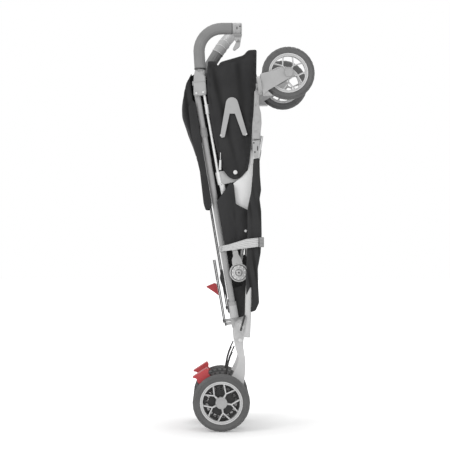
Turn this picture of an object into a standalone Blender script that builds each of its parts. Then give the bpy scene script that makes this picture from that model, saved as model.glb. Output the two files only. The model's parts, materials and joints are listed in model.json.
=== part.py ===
# Folded umbrella stroller, standing upright on its rear wheels.
# Metres, +Z up, +X towards the front wheels, the left side of the stroller at +Y.
# Depths across the stroller are measured outward from its middle plane.

import math

import bmesh
import bpy
from mathutils import Matrix, Vector

# Clearances
GAP = 0.0003
RUNNING = 0.001

# Points in the side view, as (X, Z) before the stroller is centred
FRAME_PIVOT = (-0.0161, 0.2743)
REAR_AXLE = (-0.0690, 0.0753)
TUBE_LEAN = math.radians(9.54)
UNFOLD = math.radians(97.46)

# Rear wheels
REAR_RADIUS = 0.0753
REAR_WIDTH = 0.026
REAR_TYRE_DEPTH = 0.0193
REAR_RIM = REAR_RADIUS - REAR_TYRE_DEPTH
REAR_INNER_Y = 0.046
REAR_OUTER_Y = 0.118

# Front wheels
FRONT_RADIUS = 0.069
FRONT_WIDTH = 0.026
FRONT_TYRE_DEPTH = 0.0175
FRONT_RIM = FRONT_RADIUS - FRONT_TYRE_DEPTH
FRONT_WHEEL_Y = 0.130

# Wheel sizes as radius, rim radius and width
REAR_SIZES = (REAR_RADIUS, REAR_RIM, REAR_WIDTH)
FRONT_SIZES = (FRONT_RADIUS, FRONT_RIM, FRONT_WIDTH)

# What every wheel shares
RIM_WIDTH = 0.020
RIM_WALL = 0.0072
HUB_RADIUS = 0.0148
HUB_WIDTH = 0.025
SPOKE_WIDTH = 0.0034
SPOKE_DEPTH = 0.006
SPOKES = 5
FORK_POINT = 0.54
BRANCH_ANGLE = math.radians(20)
AXLE_RADIUS = 0.004
AXLE_BORE = 0.018

# Rear leg and its brake
LEG_Y = 0.082
LEG_THICK = 0.020
LEG_LUG = 0.017
PIN_RADIUS = 0.005
PIN_HEAD = 0.0055
PEDAL_WIDTH = 0.037
PEDAL_PIN = (-0.0890, 0.1180)
PEDAL_PIN_RADIUS = 0.003
CABLE_RADIUS = 0.0018

# Push tube with its end fitting, in the tube's own frame (v across, u along)
PUSH_Y = 0.082
PUSH_RADIUS = 0.008
PUSH_V = -0.0137
PUSH_LOW = 0.024
PUSH_HIGH = 0.632
FITTING_WALL = 0.0025
PLATE_THICK = 0.010

# Handle
HOUSING_LOW = 0.8780
HOUSING_HIGH = 0.9480
HOUSING_WIDTH = 0.035
HOUSING_DEPTH = 0.030
HOUSING_X = -0.1245
GRIP_RADIUS = 0.0152
GRIP_CORE = 0.009
GRIP_BEND = 0.060
GRIP_RISE = 0.0475
GRIP_REACH = 0.0265
CAP_LENGTH = 0.026
SWIVEL_LEAN = math.radians(33)
SWIVEL_DROP = 0.0100
SWIVEL_PIN = 0.004
LEFT_HANDLE_TURN = math.radians(90)
BUTTON_RADIUS = 0.006
BUTTON_STROKE = 0.003

# Backrest tube with its hub and the hood's bracket
THIN_RADIUS = 0.0035
THIN_Y = 0.088
HUB_CENTRE = (0.0164, 0.1393)
HUB_DISC = 0.0245
HUB_DISC_THICK = 0.011
HOOD_PIVOT = (0.0510, 0.4000)
HOOD_PIN = 0.005

# Hood
HOOD_ARM_Y = 0.090
HOOD_ARM_THICK = 0.003
HOOD_ARM_WIDTH = 0.012
HOOD_ARM_LENGTH = 0.300
PANEL_Y = 0.0958
PANEL_THICK = 0.0035
STAY_THICK = 0.003
BACK_HALF = 0.082
HOOD_HALF = 0.0882
CLOTH_STEP = 0.006
SEAT_BASE_THICK = 0.010
BASE_BACK = 0.0058

# Seat rail
RAIL_Y = 0.082
RAIL_RADIUS = 0.0045
RAIL_TIP = (0.0377, 0.7740)

# Front leg
FRONT_Y = 0.112
FRONT_TUBE = 0.009
FRONT_LOW = 0.2455
FRONT_HIGH = 0.7720
FRONT_FOOT_X = 0.0002
FRONT_SLOPE = 0.0483
FRONT_LUG = 0.014
FLAP_THICK = 0.005
CASTER = (0.0350, 0.9020)
CASTER_DISC = 0.024
CASTER_DISC_THICK = 0.010
CASTER_STEM = 0.006
FORK_INSIDE = 0.0325
FORK_WALL = 0.003
FORK_EYE = 0.013
FORK_NECK = 0.00732
FORK_RISE = math.radians(24.05)
FRONT_AXLE = (CASTER[0] + (FRONT_RADIUS + FORK_NECK) * math.cos(FORK_RISE),
              CASTER[1] + (FRONT_RADIUS + FORK_NECK) * math.sin(FORK_RISE))

# Cross links and spreader
LINK_LENGTH = 0.500
LINK_WIDTH = 0.012
LINK_THICK = 0.003
LINK_A_V = -0.0265
LINK_B_V = -0.0300
LINK_FOOT = 0.044
LINK_Y = 0.080
SLIDER_LENGTH = 0.024
SLIDER_RADIUS = PUSH_RADIUS + 0.0022
BAR_A_V = -0.0400
BAR_B_V = -0.0440
BAR_FOOT = 0.010
BAR_Y = 0.0667
BAR_LENGTH = 0.178
LINK_PIN = 0.004
FOLD_PEDAL_AT = 0.097

# Carry strap
STRAP_Y = 0.1265
STRAP_THICK = 0.002
STRAP_FOOT = 0.208

RIGHT = -1
LEFT = 1
SIDES = {RIGHT: "right", LEFT: "left"}


# Scene

def clear_scene():
    for obj in list(bpy.data.objects):
        bpy.data.objects.remove(obj, do_unlink=True)


def new_collection(name, hidden=False):
    collection = bpy.data.collections.new(name)
    bpy.context.scene.collection.children.link(collection)
    collection.hide_render = hidden
    return collection


clear_scene()
PARTS = new_collection("stroller")
CUTTERS = new_collection("stroller_cutters", hidden=True)
STAND = bpy.data.objects.new("stand", None)
PARTS.objects.link(STAND)
BODIES = {"root": STAND}


def material(name, colour, roughness, metallic=0.0):
    found = bpy.data.materials.get(name)
    if found:
        return found
    made = bpy.data.materials.new(name)
    made.use_nodes = True
    shader = made.node_tree.nodes["Principled BSDF"]
    shader.inputs["Base Color"].default_value = (*colour, 1)
    shader.inputs["Roughness"].default_value = roughness
    shader.inputs["Metallic"].default_value = metallic
    return made


FINISHES = {
    "rubber": ((0.105, 0.105, 0.105), 0.75, 0.0),
    "silver_plastic": ((0.55, 0.55, 0.55), 0.40, 0.0),
    "grey_plastic": ((0.42, 0.42, 0.42), 0.45, 0.0),
    "dark_plastic": ((0.06, 0.06, 0.065), 0.5, 0.0),
    "grey_tube": ((0.33, 0.33, 0.33), 0.35, 0.6),
    "silver_tube": ((0.62, 0.62, 0.62), 0.30, 0.9),
    "foam": ((0.24, 0.24, 0.24), 0.9, 0.0),
    "black_cloth": ((0.028, 0.028, 0.028), 0.9, 0.0),
    "red_plastic": ((0.62, 0.03, 0.03), 0.4, 0.0),
    "webbing": ((0.55, 0.55, 0.55), 0.8, 0.0),
    "black_cable": ((0.02, 0.02, 0.02), 0.5, 0.0),
}


# Placing

def body(name, parent, x, y, z):
    """An empty on a joint's axis, which carries the pieces of one moving body."""
    empty = bpy.data.objects.new("body_" + name, None)
    PARTS.objects.link(empty)
    empty.location = (x, y, z)
    bpy.context.view_layer.update()
    attach(empty, parent)
    BODIES[name] = empty


def attach(obj, parent):
    bpy.context.view_layer.update()
    obj.parent = BODIES[parent]
    obj.matrix_parent_inverse = BODIES[parent].matrix_world.inverted()


def finish(obj, name, parent, finish_name):
    """Names a solid, colours it and hangs it on its body."""
    obj.name = name
    obj.data.name = name
    obj.data.materials.clear()
    obj.data.materials.append(material(finish_name, *FINISHES[finish_name]))
    attach(obj, parent)
    return obj


def as_mesh(obj):
    """A curve made a mesh with its caps welded."""
    bpy.context.view_layer.update()
    graph = bpy.context.evaluated_depsgraph_get()
    mesh = bpy.data.meshes.new_from_object(obj.evaluated_get(graph))
    shape = bmesh.new()
    shape.from_mesh(mesh)
    bmesh.ops.remove_doubles(shape, verts=shape.verts, dist=1e-6)
    bmesh.ops.recalc_face_normals(shape, faces=shape.faces)
    shape.to_mesh(mesh)
    shape.free()
    made = bpy.data.objects.new(obj.name, mesh)
    PARTS.objects.link(made)
    made.matrix_world = obj.matrix_world.copy()
    bpy.data.objects.remove(obj, do_unlink=True)
    return made


def helper(obj):
    """Hides a solid that only cuts or joins another."""
    for collection in list(obj.users_collection):
        collection.objects.unlink(obj)
    CUTTERS.objects.link(obj)
    obj.hide_render = True
    obj.display_type = "WIRE"
    return obj


def boolean(obj, other, operation):
    bpy.context.view_layer.update()
    modifier = obj.modifiers.new(operation.lower(), "BOOLEAN")
    modifier.operation = operation
    modifier.solver = "EXACT"
    modifier.object = helper(other)
    if obj.parent is None:
        other.parent = None
    return obj


def join(obj, *others):
    for other in others:
        boolean(obj, other, "UNION")
    return obj


def cut(obj, *others):
    for other in others:
        boolean(obj, other, "DIFFERENCE")
    return obj


def bake(obj):
    """Applies the Booleans, so that the piece can be cut or moved again."""
    bpy.context.view_layer.update()
    graph = bpy.context.evaluated_depsgraph_get()
    mesh = bpy.data.meshes.new_from_object(obj.evaluated_get(graph))
    shape = bmesh.new()
    shape.from_mesh(mesh)
    bmesh.ops.remove_doubles(shape, verts=shape.verts, dist=2e-6)
    shape.to_mesh(mesh)
    shape.free()
    helpers = [m.object for m in obj.modifiers if m.type == "BOOLEAN"]
    obj.modifiers.clear()
    obj.data = mesh
    for other in helpers:
        bpy.data.objects.remove(other, do_unlink=True)
    return obj


def bevelled(obj, width, segments=1):
    modifier = obj.modifiers.new("edges", "BEVEL")
    modifier.width = width
    modifier.segments = segments
    modifier.limit_method = "ANGLE"
    modifier.angle_limit = math.radians(50)
    return obj


# Shapes

def along_push(v, u):
    """A point of the push tube's frame, as (X, Z)."""
    x = FRAME_PIVOT[0] + v * math.cos(TUBE_LEAN) - u * math.sin(TUBE_LEAN)
    z = FRAME_PIVOT[1] + v * math.sin(TUBE_LEAN) + u * math.cos(TUBE_LEAN)
    return (x, z)


def push_loop(points):
    return [along_push(v, u) for v, u in points]


def arc(centre, radius, start, end, steps):
    """Points on an arc, angles in degrees."""
    points = []
    for i in range(steps + 1):
        angle = math.radians(start + (end - start) * i / steps)
        points.append((centre[0] + radius * math.cos(angle), centre[1] + radius * math.sin(angle)))
    return points


def circle(centre, radius, steps):
    return arc(centre, radius, 0, 360 - 360 / steps, steps - 1)


def smooth_loop(points, steps=3):
    """A closed smooth line through the points."""
    count = len(points)
    line = []
    for i in range(count):
        line += spline_span([Vector(points[(i + k - 1) % count]) for k in range(4)], steps)
    return line


def smooth_path(points, steps=4):
    """An open smooth line through the points, ends included."""
    vectors = [Vector(p) for p in points]
    vectors = [2 * vectors[0] - vectors[1]] + vectors + [2 * vectors[-1] - vectors[-2]]
    line = []
    for i in range(len(vectors) - 3):
        line += spline_span(vectors[i:i + 4], steps)
    return line + [vectors[-2]]


def spline_span(knots, steps):
    a, b, c, d = knots
    span = []
    for i in range(steps):
        t = i / steps
        span.append(0.5 * (2 * b + (c - a) * t + (2 * a - 5 * b + 4 * c - d) * t * t
                           + (3 * b - a - 3 * c + d) * t ** 3))
    return span


def rounded(points, radius, steps=3):
    """A polygon whose corners are arcs."""
    count = len(points)
    line = []
    for i in range(count):
        here = Vector(points[i])
        back = (Vector(points[i - 1]) - here)
        ahead = (Vector(points[(i + 1) % count]) - here)
        room = min(radius, 0.45 * back.length, 0.45 * ahead.length)
        start = here + back.normalized() * room
        end = here + ahead.normalized() * room
        for k in range(steps + 1):
            t = k / steps
            line.append((1 - t) ** 2 * start + 2 * t * (1 - t) * here + t * t * end)
    return line


def plate(loops, low, high, side):
    """Flat outlines in the side view, the first one solid and the rest holes, from depth low to high."""
    data = bpy.data.curves.new("plate", "CURVE")
    data.dimensions = "2D"
    data.fill_mode = "BOTH"
    data.extrude = (high - low) / 2
    for loop in loops:
        spline = data.splines.new("POLY")
        spline.points.add(len(loop) - 1)
        for point, (x, z) in zip(spline.points, loop):
            point.co = (x, z, 0, 1)
        spline.use_cyclic_u = True
    obj = bpy.data.objects.new("plate", data)
    PARTS.objects.link(obj)
    obj.rotation_euler = (math.pi / 2, 0, 0)
    obj.location = (0, side * (low + high) / 2, 0)
    return as_mesh(obj)


def rod(points, radius, sides=2):
    """A round bar along points, as a poly curve with filled caps."""
    data = bpy.data.curves.new("rod", "CURVE")
    data.dimensions = "3D"
    data.bevel_depth = radius
    data.bevel_resolution = sides
    data.use_fill_caps = True
    spline = data.splines.new("POLY")
    spline.points.add(len(points) - 1)
    for point, place in zip(spline.points, points):
        point.co = (*place, 1)
    obj = bpy.data.objects.new("rod", data)
    PARTS.objects.link(obj)
    return obj


def cylinder(centre, axis, radius, length, steps=20, top_radius=None):
    """A cylinder or cone whose middle is at centre."""
    shape = bmesh.new()
    bmesh.ops.create_cone(
        shape, cap_ends=True, segments=steps, radius1=radius,
        radius2=radius if top_radius is None else top_radius, depth=length)
    mesh = bpy.data.meshes.new("cylinder")
    shape.to_mesh(mesh)
    shape.free()
    obj = bpy.data.objects.new("cylinder", mesh)
    PARTS.objects.link(obj)
    obj.rotation_mode = "QUATERNION"
    obj.rotation_quaternion = Vector((0, 0, 1)).rotation_difference(Vector(axis).normalized())
    obj.location = centre
    return obj


def across(point, low, high, side, radius, steps=20):
    """A cylinder across the stroller, from depth low to high."""
    centre = (point[0], side * (low + high) / 2, point[1])
    return cylinder(centre, (0, side, 0), radius, high - low, steps)


def box(low, high):
    shape = bmesh.new()
    bmesh.ops.create_cube(shape, size=1)
    size = [b - a for a, b in zip(low, high)]
    bmesh.ops.scale(shape, vec=size, verts=shape.verts)
    mesh = bpy.data.meshes.new("box")
    shape.to_mesh(mesh)
    shape.free()
    obj = bpy.data.objects.new("box", mesh)
    PARTS.objects.link(obj)
    obj.location = [(a + b) / 2 for a, b in zip(low, high)]
    return obj


def turned(profile, point, depth, side, steps, closed=False, facing=1):
    """A profile of (radius, outward) turned about the axle line through point."""
    mesh = bpy.data.meshes.new("turned")
    edges = [(i, i + 1) for i in range(len(profile) - 1)]
    if closed:
        edges.append((len(profile) - 1, 0))
    mesh.from_pydata([(r, 0, h) for r, h in profile], edges, [])
    obj = bpy.data.objects.new("turned", mesh)
    PARTS.objects.link(obj)
    screw = obj.modifiers.new("turn", "SCREW")
    screw.axis = "Z"
    screw.angle = 2 * math.pi
    screw.steps = steps
    screw.render_steps = steps
    screw.use_merge_vertices = True
    screw.merge_threshold = 1e-5
    screw.use_smooth_shade = True
    obj.rotation_euler = (-side * facing * math.pi / 2, 0, 0)
    obj.location = (point[0], side * depth, point[1])
    return obj


def folded_cloth(loop, half, stations, waves, depth, middle, direction):
    """Cloth bunched between the side frames: one outline lofted across, narrowing and widening in folds."""
    middle = Vector(middle)
    direction = Vector(direction)
    shape = bmesh.new()
    rings = []
    for i in range(stations + 1):
        t = i / stations
        pinch = depth * 0.5 * (1 - math.cos(2 * math.pi * waves * t))
        ring = []
        for point in loop:
            across_fold = (Vector(point) - middle).dot(direction)
            place = Vector(point) - direction * across_fold * pinch
            ring.append(shape.verts.new((place.x, half * (2 * t - 1), place.y)))
        rings.append(ring)
    for near, far in zip(rings, rings[1:]):
        for k in range(len(loop)):
            shape.faces.new((near[k - 1], near[k], far[k], far[k - 1]))
    shape.faces.new(rings[0])
    shape.faces.new(rings[-1])
    bmesh.ops.recalc_face_normals(shape, faces=shape.faces)
    mesh = bpy.data.meshes.new("cloth")
    shape.to_mesh(mesh)
    shape.free()
    obj = bpy.data.objects.new("cloth", mesh)
    PARTS.objects.link(obj)
    return obj


# Wheels

def polar(radius, angle):
    return Vector((radius * math.cos(angle), radius * math.sin(angle)))


def inset(points, widths):
    """A closed outline whose every edge moves inward by its own width."""
    count = len(points)
    lines = []
    for i in range(count):
        a, b = points[i], points[(i + 1) % count]
        normal = Vector((-(b - a).y, (b - a).x)).normalized()
        lines.append((a + normal * widths[i], b - a))
    moved = []
    for i in range(count):
        (p, d), (q, e) = lines[i - 1], lines[i]
        cross = d.x * e.y - d.y * e.x
        if abs(cross) < 1e-9:
            moved.append(q.copy())
            continue
        t = ((q - p).x * e.y - (q - p).y * e.x) / cross
        moved.append(p + d * t)
    return moved


def wheel_windows(rim_inside, start):
    """The openings between Y-shaped spokes: a large one between two spokes and a small one in each fork."""
    half = SPOKE_WIDTH / 2
    fork = rim_inside * FORK_POINT
    pitch = 2 * math.pi / SPOKES
    loops = []
    for k in range(SPOKES):
        a = start + k * pitch
        b = a + pitch
        hub_line = [polar(HUB_RADIUS, b - pitch * t) for t in (0.06, 0.5, 0.94)]
        rim_line = [polar(rim_inside, a + BRANCH_ANGLE + (pitch - 2 * BRANCH_ANGLE) * t / 3)
                    for t in range(4)]
        points = [polar(fork, a)] + rim_line + [polar(fork, b)] + hub_line
        widths = [half, 0, 0, 0, half, half, 0, 0, half]
        loops.append(inset(points, widths))
        rim_line = [polar(rim_inside, a - BRANCH_ANGLE + BRANCH_ANGLE * t) for t in range(3)]
        loops.append(inset([polar(fork, a)] + rim_line, [half, 0, 0, half]))
    return loops


def rim(point, depth, side, outer, start, steps, facing):
    """Rim ring, Y spokes and hub as one moulding, with a blind bore for the axle."""
    inside = outer - RIM_WALL
    face = HUB_WIDTH / 2
    ring = [(outer, RIM_WIDTH / 2), (outer, -RIM_WIDTH / 2), (inside + 0.002, -RIM_WIDTH / 2),
            (inside + 0.001, RIM_WIDTH / 2)]
    obj = turned(ring, point, depth, side, steps, closed=True, facing=facing)
    holes = []
    for loop in wheel_windows(inside, start):
        holes.append([(point[0] + p.x, point[1] + p.y) for p in loop])
    out = depth + facing * (RIM_WIDTH / 2 - 0.004)
    low, high = sorted((out - facing * SPOKE_DEPTH, out))
    join(obj, plate([circle(point, inside + 0.0025, steps)] + holes, low, high, side))
    join(obj, across(point, depth - face, depth + face, side, HUB_RADIUS + 0.0005, 16))
    low, high = sorted((depth - facing * (face + 0.001), depth - facing * (face - AXLE_BORE)))
    cut(obj, across(point, low, high, side, AXLE_RADIUS + GAP, 12))
    return bake(obj)


def tyre(point, depth, side, outer, rim_radius, width, steps):
    half = width / 2
    bore = rim_radius + GAP
    profile = [(bore, half - 0.003), (outer - 0.007, half), (outer - 0.0012, half - 0.005),
               (outer, 0), (outer - 0.0012, 0.005 - half), (outer - 0.007, -half), (bore, 0.003 - half)]
    return turned(profile, point, depth, side, steps, closed=True)


def wheel(prefix, parent, point, depth, side, sizes, start, steps, facing=1):
    outer, rim_radius, width = sizes
    hub = rim(point, depth, side, rim_radius, start, steps, facing)
    finish(hub, prefix + "_rim", parent, "silver_plastic")
    ring = tyre(point, depth, side, outer, rim_radius, width, steps)
    finish(ring, prefix + "_tyre", parent, "rubber")


# Rear leg

def rear_leg_outline():
    axle = REAR_AXLE
    foot = [(axle[0] + dx, axle[1] + dz) for dx, dz in (
        (0.0605, 0.0537), (0.0500, 0.0180), (0.0270, -0.0130), (0.0080, -0.0220), (-0.0110, -0.0200),
        (-0.0230, -0.0060), (-0.0240, 0.0130), (-0.0240, 0.0300), (-0.0270, 0.0400), (-0.0250, 0.0490),
        (-0.0180, 0.0510), (-0.0080, 0.0465), (0.0080, 0.0450), (0.0200, 0.0520))]
    pivot = FRAME_PIVOT
    top = [(pivot[0] + dx, pivot[1] + dz) for dx, dz in (
        (-0.0137, -0.1111), (-0.0070, -0.0875), (-0.0110, -0.0743), (-0.0185, -0.0453), (-0.0195, -0.0200))]
    lug = arc(pivot, LEG_LUG, 175, 5, 6)
    edge = [(pivot[0] + dx, pivot[1] + dz) for dx, dz in (
        (0.0090, -0.0263), (0.0045, -0.0453), (0.0076, -0.0713), (0.0111, -0.0980))]
    return smooth_loop(foot + top + lug + edge, 2)


def rear_leg(side, parent):
    name = SIDES[side]
    low = LEG_Y - LEG_THICK / 2
    high = LEG_Y + LEG_THICK / 2
    leg = plate([rear_leg_outline()], low, high, side)
    bevelled(leg, 0.002)
    bake(leg)
    face = HUB_WIDTH / 2
    axle_low = REAR_INNER_Y - face + (HUB_WIDTH - AXLE_BORE) + RUNNING
    axle_high = REAR_OUTER_Y - face + AXLE_BORE - RUNNING
    join(leg, across(REAR_AXLE, axle_low, axle_high, side, AXLE_RADIUS, 12))
    join(leg, across(FRAME_PIVOT, PLATE_IN - 0.002, FRONT_Y + 0.0005, side, PIN_RADIUS, 16))
    join(leg, across(FRAME_PIVOT, FRONT_Y, FRONT_Y + 0.0025, side, PIN_HEAD, 12))
    cut(leg, across(PEDAL_PIN, low - 0.001, high + 0.001, side, PEDAL_PIN_RADIUS + GAP, 12))
    finish(bake(leg), name + "_rear_leg", parent, "silver_plastic")


def brake_pedal(side, parent):
    """A red pedal between the two wheels, hinged on the leg's brake housing by two cheeks."""
    name = SIDES[side]
    low = LEG_Y - PEDAL_WIDTH / 2
    high = LEG_Y + PEDAL_WIDTH / 2
    x, z = PEDAL_PIN
    tread = [(x + dx, z + dz) for dx, dz in (
        (-0.0570, 0.0205), (-0.0180, 0.0460), (-0.0130, 0.0400), (-0.0150, 0.0300), (-0.0170, 0.0170),
        (-0.0350, 0.0035), (-0.0420, 0.0070), (-0.0450, 0.0180))]
    pedal = plate([rounded(tread, 0.003, 2)], low, high, side)
    arm = [(x + dx, z + dz) for dx, dz in (
        (-0.0150, 0.0320), (0.0010, 0.0070), (0.0070, 0.0010), (0.0040, -0.0060), (-0.0040, -0.0065),
        (-0.0250, 0.0060))]
    cheek = LEG_THICK / 2 + 0.0008
    join(pedal, plate([rounded(arm, 0.003, 2)], low, LEG_Y - cheek, side))
    join(pedal, plate([rounded(arm, 0.003, 2)], LEG_Y + cheek, high, side))
    join(pedal, across(PEDAL_PIN, low + 0.001, high - 0.001, side, PEDAL_PIN_RADIUS, 12))
    finish(bake(pedal), name + "_brake_pedal", parent, "red_plastic")


def brake_cable(side, parent):
    """From the leg's gusset to the brake housing, held at both ends."""
    pivot = FRAME_PIVOT
    axle = REAR_AXLE
    route = [(pivot[0] - 0.0188, pivot[1] - 0.0540), (pivot[0] - 0.0300, pivot[1] - 0.0800),
             (pivot[0] - 0.0384, pivot[1] - 0.1150), (axle[0] + 0.0085, axle[1] + 0.0463)]
    points = [(p.x, side * LEG_Y, p.y) for p in smooth_path(route, 3)]
    finish(rod(points, CABLE_RADIUS, 2), SIDES[side] + "_brake_cable", parent, "black_cable")


# Push tube

PLATE_IN = LEG_Y - LEG_THICK / 2 - PLATE_THICK - GAP
PLATE_OUT = LEG_Y - LEG_THICK / 2 - GAP


def push_point(v, u, y):
    x, z = along_push(v, u)
    return (x, y, z)


def push_rod(v, low, high, y, radius, steps=16):
    middle = push_point(v, (low + high) / 2, y)
    return cylinder(middle, (-math.sin(TUBE_LEAN), 0, math.cos(TUBE_LEAN)), radius, high - low, steps)


def push_pin(v_low, v_high, u, y, radius, steps=12):
    """A pin square to the links, pointing back from the tube."""
    middle = push_point((v_low + v_high) / 2, u, y)
    return cylinder(middle, (-math.cos(TUBE_LEAN), 0, -math.sin(TUBE_LEAN)), radius, v_high - v_low, steps)


def push_tube(side, parent):
    """The long tube with its end fitting: sleeve, pivot plate, and the pins of link and spreader."""
    sleeve = PUSH_RADIUS + FITTING_WALL
    tube = push_rod(PUSH_V, PUSH_LOW, PUSH_HIGH, side * PUSH_Y, PUSH_RADIUS, 20)
    top = PUSH_LOW + 0.042
    lug = 0.015
    outline = push_loop([(-0.0250, -0.0020), (-0.0250, 0.0560), (-0.0190, top), (-0.0050, top),
                         (0.0040, 0.0300)] + arc((0, 0), lug, 30, -130, 6))
    fitting = plate([outline], PLATE_IN, PLATE_OUT, side)
    join(tube, fitting)
    join(tube, push_rod(PUSH_V, PUSH_LOW, top, side * PUSH_Y, sleeve, 20))
    back = PUSH_V - sleeve
    block = plate([push_loop([(back, PUSH_LOW + 0.002), (back, 0.0560), (PUSH_V + 0.004, 0.0560),
                              (PUSH_V + 0.004, PUSH_LOW + 0.002)])], PLATE_OUT - 0.002, PUSH_Y + 0.004, side)
    join(tube, block)
    link_v = LINK_A_V if side == RIGHT else LINK_B_V
    join(tube, push_pin(link_v - LINK_THICK / 2 - 0.0015, back + 0.002, LINK_FOOT, side * LINK_Y, LINK_PIN))
    bar_v = BAR_A_V if side == RIGHT else BAR_B_V
    join(tube, push_pin(bar_v - LINK_THICK / 2 - 0.0015, -0.0240, BAR_FOOT, side * BAR_Y, LINK_PIN))
    if side == RIGHT:
        foot = along_push(PUSH_V, STRAP_FOOT)
        join(tube, push_rod(PUSH_V, STRAP_FOOT - 0.008, STRAP_FOOT + 0.008, side * PUSH_Y, sleeve, 20))
        join(tube, across(foot, PUSH_Y, STRAP_Y - GAP, side, 0.006, 14))
    cut(tube, across(FRAME_PIVOT, PLATE_IN - 0.001, PLATE_OUT + 0.001, side, PIN_RADIUS + GAP, 16))
    finish(bake(tube), SIDES[side] + "_push_tube", parent, "grey_tube")


def handle_housing(side, parent):
    """A tapered moulding that takes the tops of both tubes and carries the handle."""
    half = HOUSING_WIDTH / 2
    left, right = HOUSING_X - half, HOUSING_X + half
    loop = [(left + 0.0005, HOUSING_LOW), (right - 0.0015, HOUSING_LOW + 0.003),
            (right - 0.0010, HOUSING_LOW + 0.008), (right - 0.0025, HOUSING_LOW + 0.029),
            (right - 0.0055, HOUSING_HIGH), (left + 0.0045, HOUSING_HIGH),
            (left + 0.0010, HOUSING_HIGH - 0.015), (left, HOUSING_HIGH - 0.033)]
    middle = HANDLE_Y
    obj = plate([rounded(loop, 0.004, 1)], middle - HOUSING_DEPTH / 2, middle + HOUSING_DEPTH / 2, side)
    bevelled(obj, 0.004)
    bake(obj)
    for v, u in ((-0.0152, 0.6233), (0.0062, 0.6236)):
        centre = along_push(v, u)
        out = middle + HOUSING_DEPTH / 2
        join(obj, across(centre, out - 0.002, out + 0.0012, side, 0.0035, 10))
    cut(obj, push_rod(PUSH_V, PUSH_HIGH - 0.060, PUSH_HIGH + GAP, side * PUSH_Y, PUSH_RADIUS + GAP, 20))
    cut(obj, cylinder(*thin_top(side), THIN_RADIUS + GAP, 0.060, 12))
    joint = swivel_point(side)
    cut(obj, cylinder(joint + SWIVEL_AXIS * 0.020, SWIVEL_AXIS, 0.045, 0.040, 24))
    cut(obj, cylinder(joint, SWIVEL_AXIS, SWIVEL_PIN + GAP, 0.024, 12))
    knob = BUTTON_PLACE
    cut(obj, cylinder((knob[0] + 0.008, side * middle, knob[1]), (1, 0, 0), BUTTON_RADIUS + GAP, 0.022, 14))
    finish(bake(obj), SIDES[side] + "_handle_housing", parent, "silver_plastic")


HANDLE_Y = (PUSH_Y + THIN_Y) / 2 - 0.0015
SWIVEL_AXIS = Vector((math.sin(SWIVEL_LEAN), 0, math.cos(SWIVEL_LEAN)))


def swivel_point(side):
    """Middle of the slanted joint between housing and handle."""
    return Vector((HOUSING_X, side * HANDLE_Y, HOUSING_HIGH - SWIVEL_DROP))


BUTTON_PLACE = (HOUSING_X - HOUSING_WIDTH / 2 + 0.0012, 0.9120)


def handle_button(side, parent):
    """A press button at the back of the housing that frees the handle."""
    middle = HANDLE_Y
    x = BUTTON_PLACE[0]
    obj = cylinder((x + 0.0035, side * middle, BUTTON_PLACE[1]), (-1, 0, 0), BUTTON_RADIUS,
                   0.019 - BUTTON_STROKE, 14, BUTTON_RADIUS)
    finish(obj, SIDES[side] + "_handle_button", parent, "silver_plastic")


def thin_line():
    return [(0.0165, 0.1640), (0.0158, 0.1980), (0.0060, 0.4076), (0.0044, 0.6290)]


def thin_top(side):
    """Centre and direction of the backrest tube where the housing takes it."""
    low = Vector(push_point(*thin_line()[2], side * THIN_Y))
    high = Vector(push_point(*thin_line()[3], side * THIN_Y))
    along = (high - low).normalized()
    return high - along * (0.030 - GAP), along


def handle_path():
    """The J of the handle in the side view, from its root to the cap."""
    root = (HOUSING_X, HOUSING_HIGH + 0.0012)
    centre = (root[0] + GRIP_BEND - 0.0030, root[1] + GRIP_RISE)
    bend = arc(centre, GRIP_BEND, 180, 90, 9)
    return [root] + bend, (centre[0] + GRIP_REACH, centre[1] + GRIP_BEND)


def handle(side, parent):
    """A bent tube with collar, pin and cap, and the foam sleeve over it, turned on the slanted joint."""
    middle = side * HANDLE_Y
    path, end = handle_path()
    line = [Vector((x, middle, z)) for x, z in path]
    joint = swivel_point(side)
    foam_end = Vector((end[0], middle, end[1]))
    cap_end = foam_end + Vector((CAP_LENGTH, 0, 0))
    outward = Vector((1, 0, 0))
    foam = as_mesh(rod(line + [foam_end], GRIP_RADIUS, 5))
    bore = [line[0] - (line[1] - line[0]).normalized() * 0.004] + line[1:] + [foam_end + outward * 0.004]
    cut(foam, as_mesh(rod(bore, GRIP_CORE + GAP, 3)))
    bake(foam)
    core = as_mesh(rod(bore, GRIP_CORE, 3))
    top = line[0].z - 0.0020
    collar = cylinder((HOUSING_X, middle, top - 0.0150), (0, 0, 1), GRIP_RADIUS - 0.0014, 0.030, 24)
    join(core, collar)
    cut(core, cylinder(joint - SWIVEL_AXIS * (0.030 - GAP), SWIVEL_AXIS, 0.045, 0.060, 24))
    join(core, cylinder(joint - SWIVEL_AXIS * 0.003, SWIVEL_AXIS, SWIVEL_PIN, 0.014, 12))
    cap = cylinder((foam_end + cap_end) / 2 + outward * GAP, outward, GRIP_RADIUS, CAP_LENGTH, 20)
    slot = box(cap_end + Vector((-0.009, -0.004, 0.001)), cap_end + Vector((0.002, 0.004, 0.008)))
    bevelled(cap, 0.002)
    bake(cap)
    cut(cap, slot)
    bake(cap)
    join(core, cap)
    if side == RIGHT:
        join(core, wrist_clip(middle))
    bake(core)
    if side == LEFT:
        turn = Matrix.Rotation(LEFT_HANDLE_TURN, 4, SWIVEL_AXIS)
        turn = Matrix.Translation(joint) @ turn @ Matrix.Translation(-joint)
        for obj in (foam, core):
            bpy.context.view_layer.update()
            obj.matrix_world = turn @ obj.matrix_world
    finish(core, SIDES[side] + "_handle_tube", parent, "silver_plastic")
    finish(foam, SIDES[side] + "_handle_grip", parent, "foam")


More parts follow.
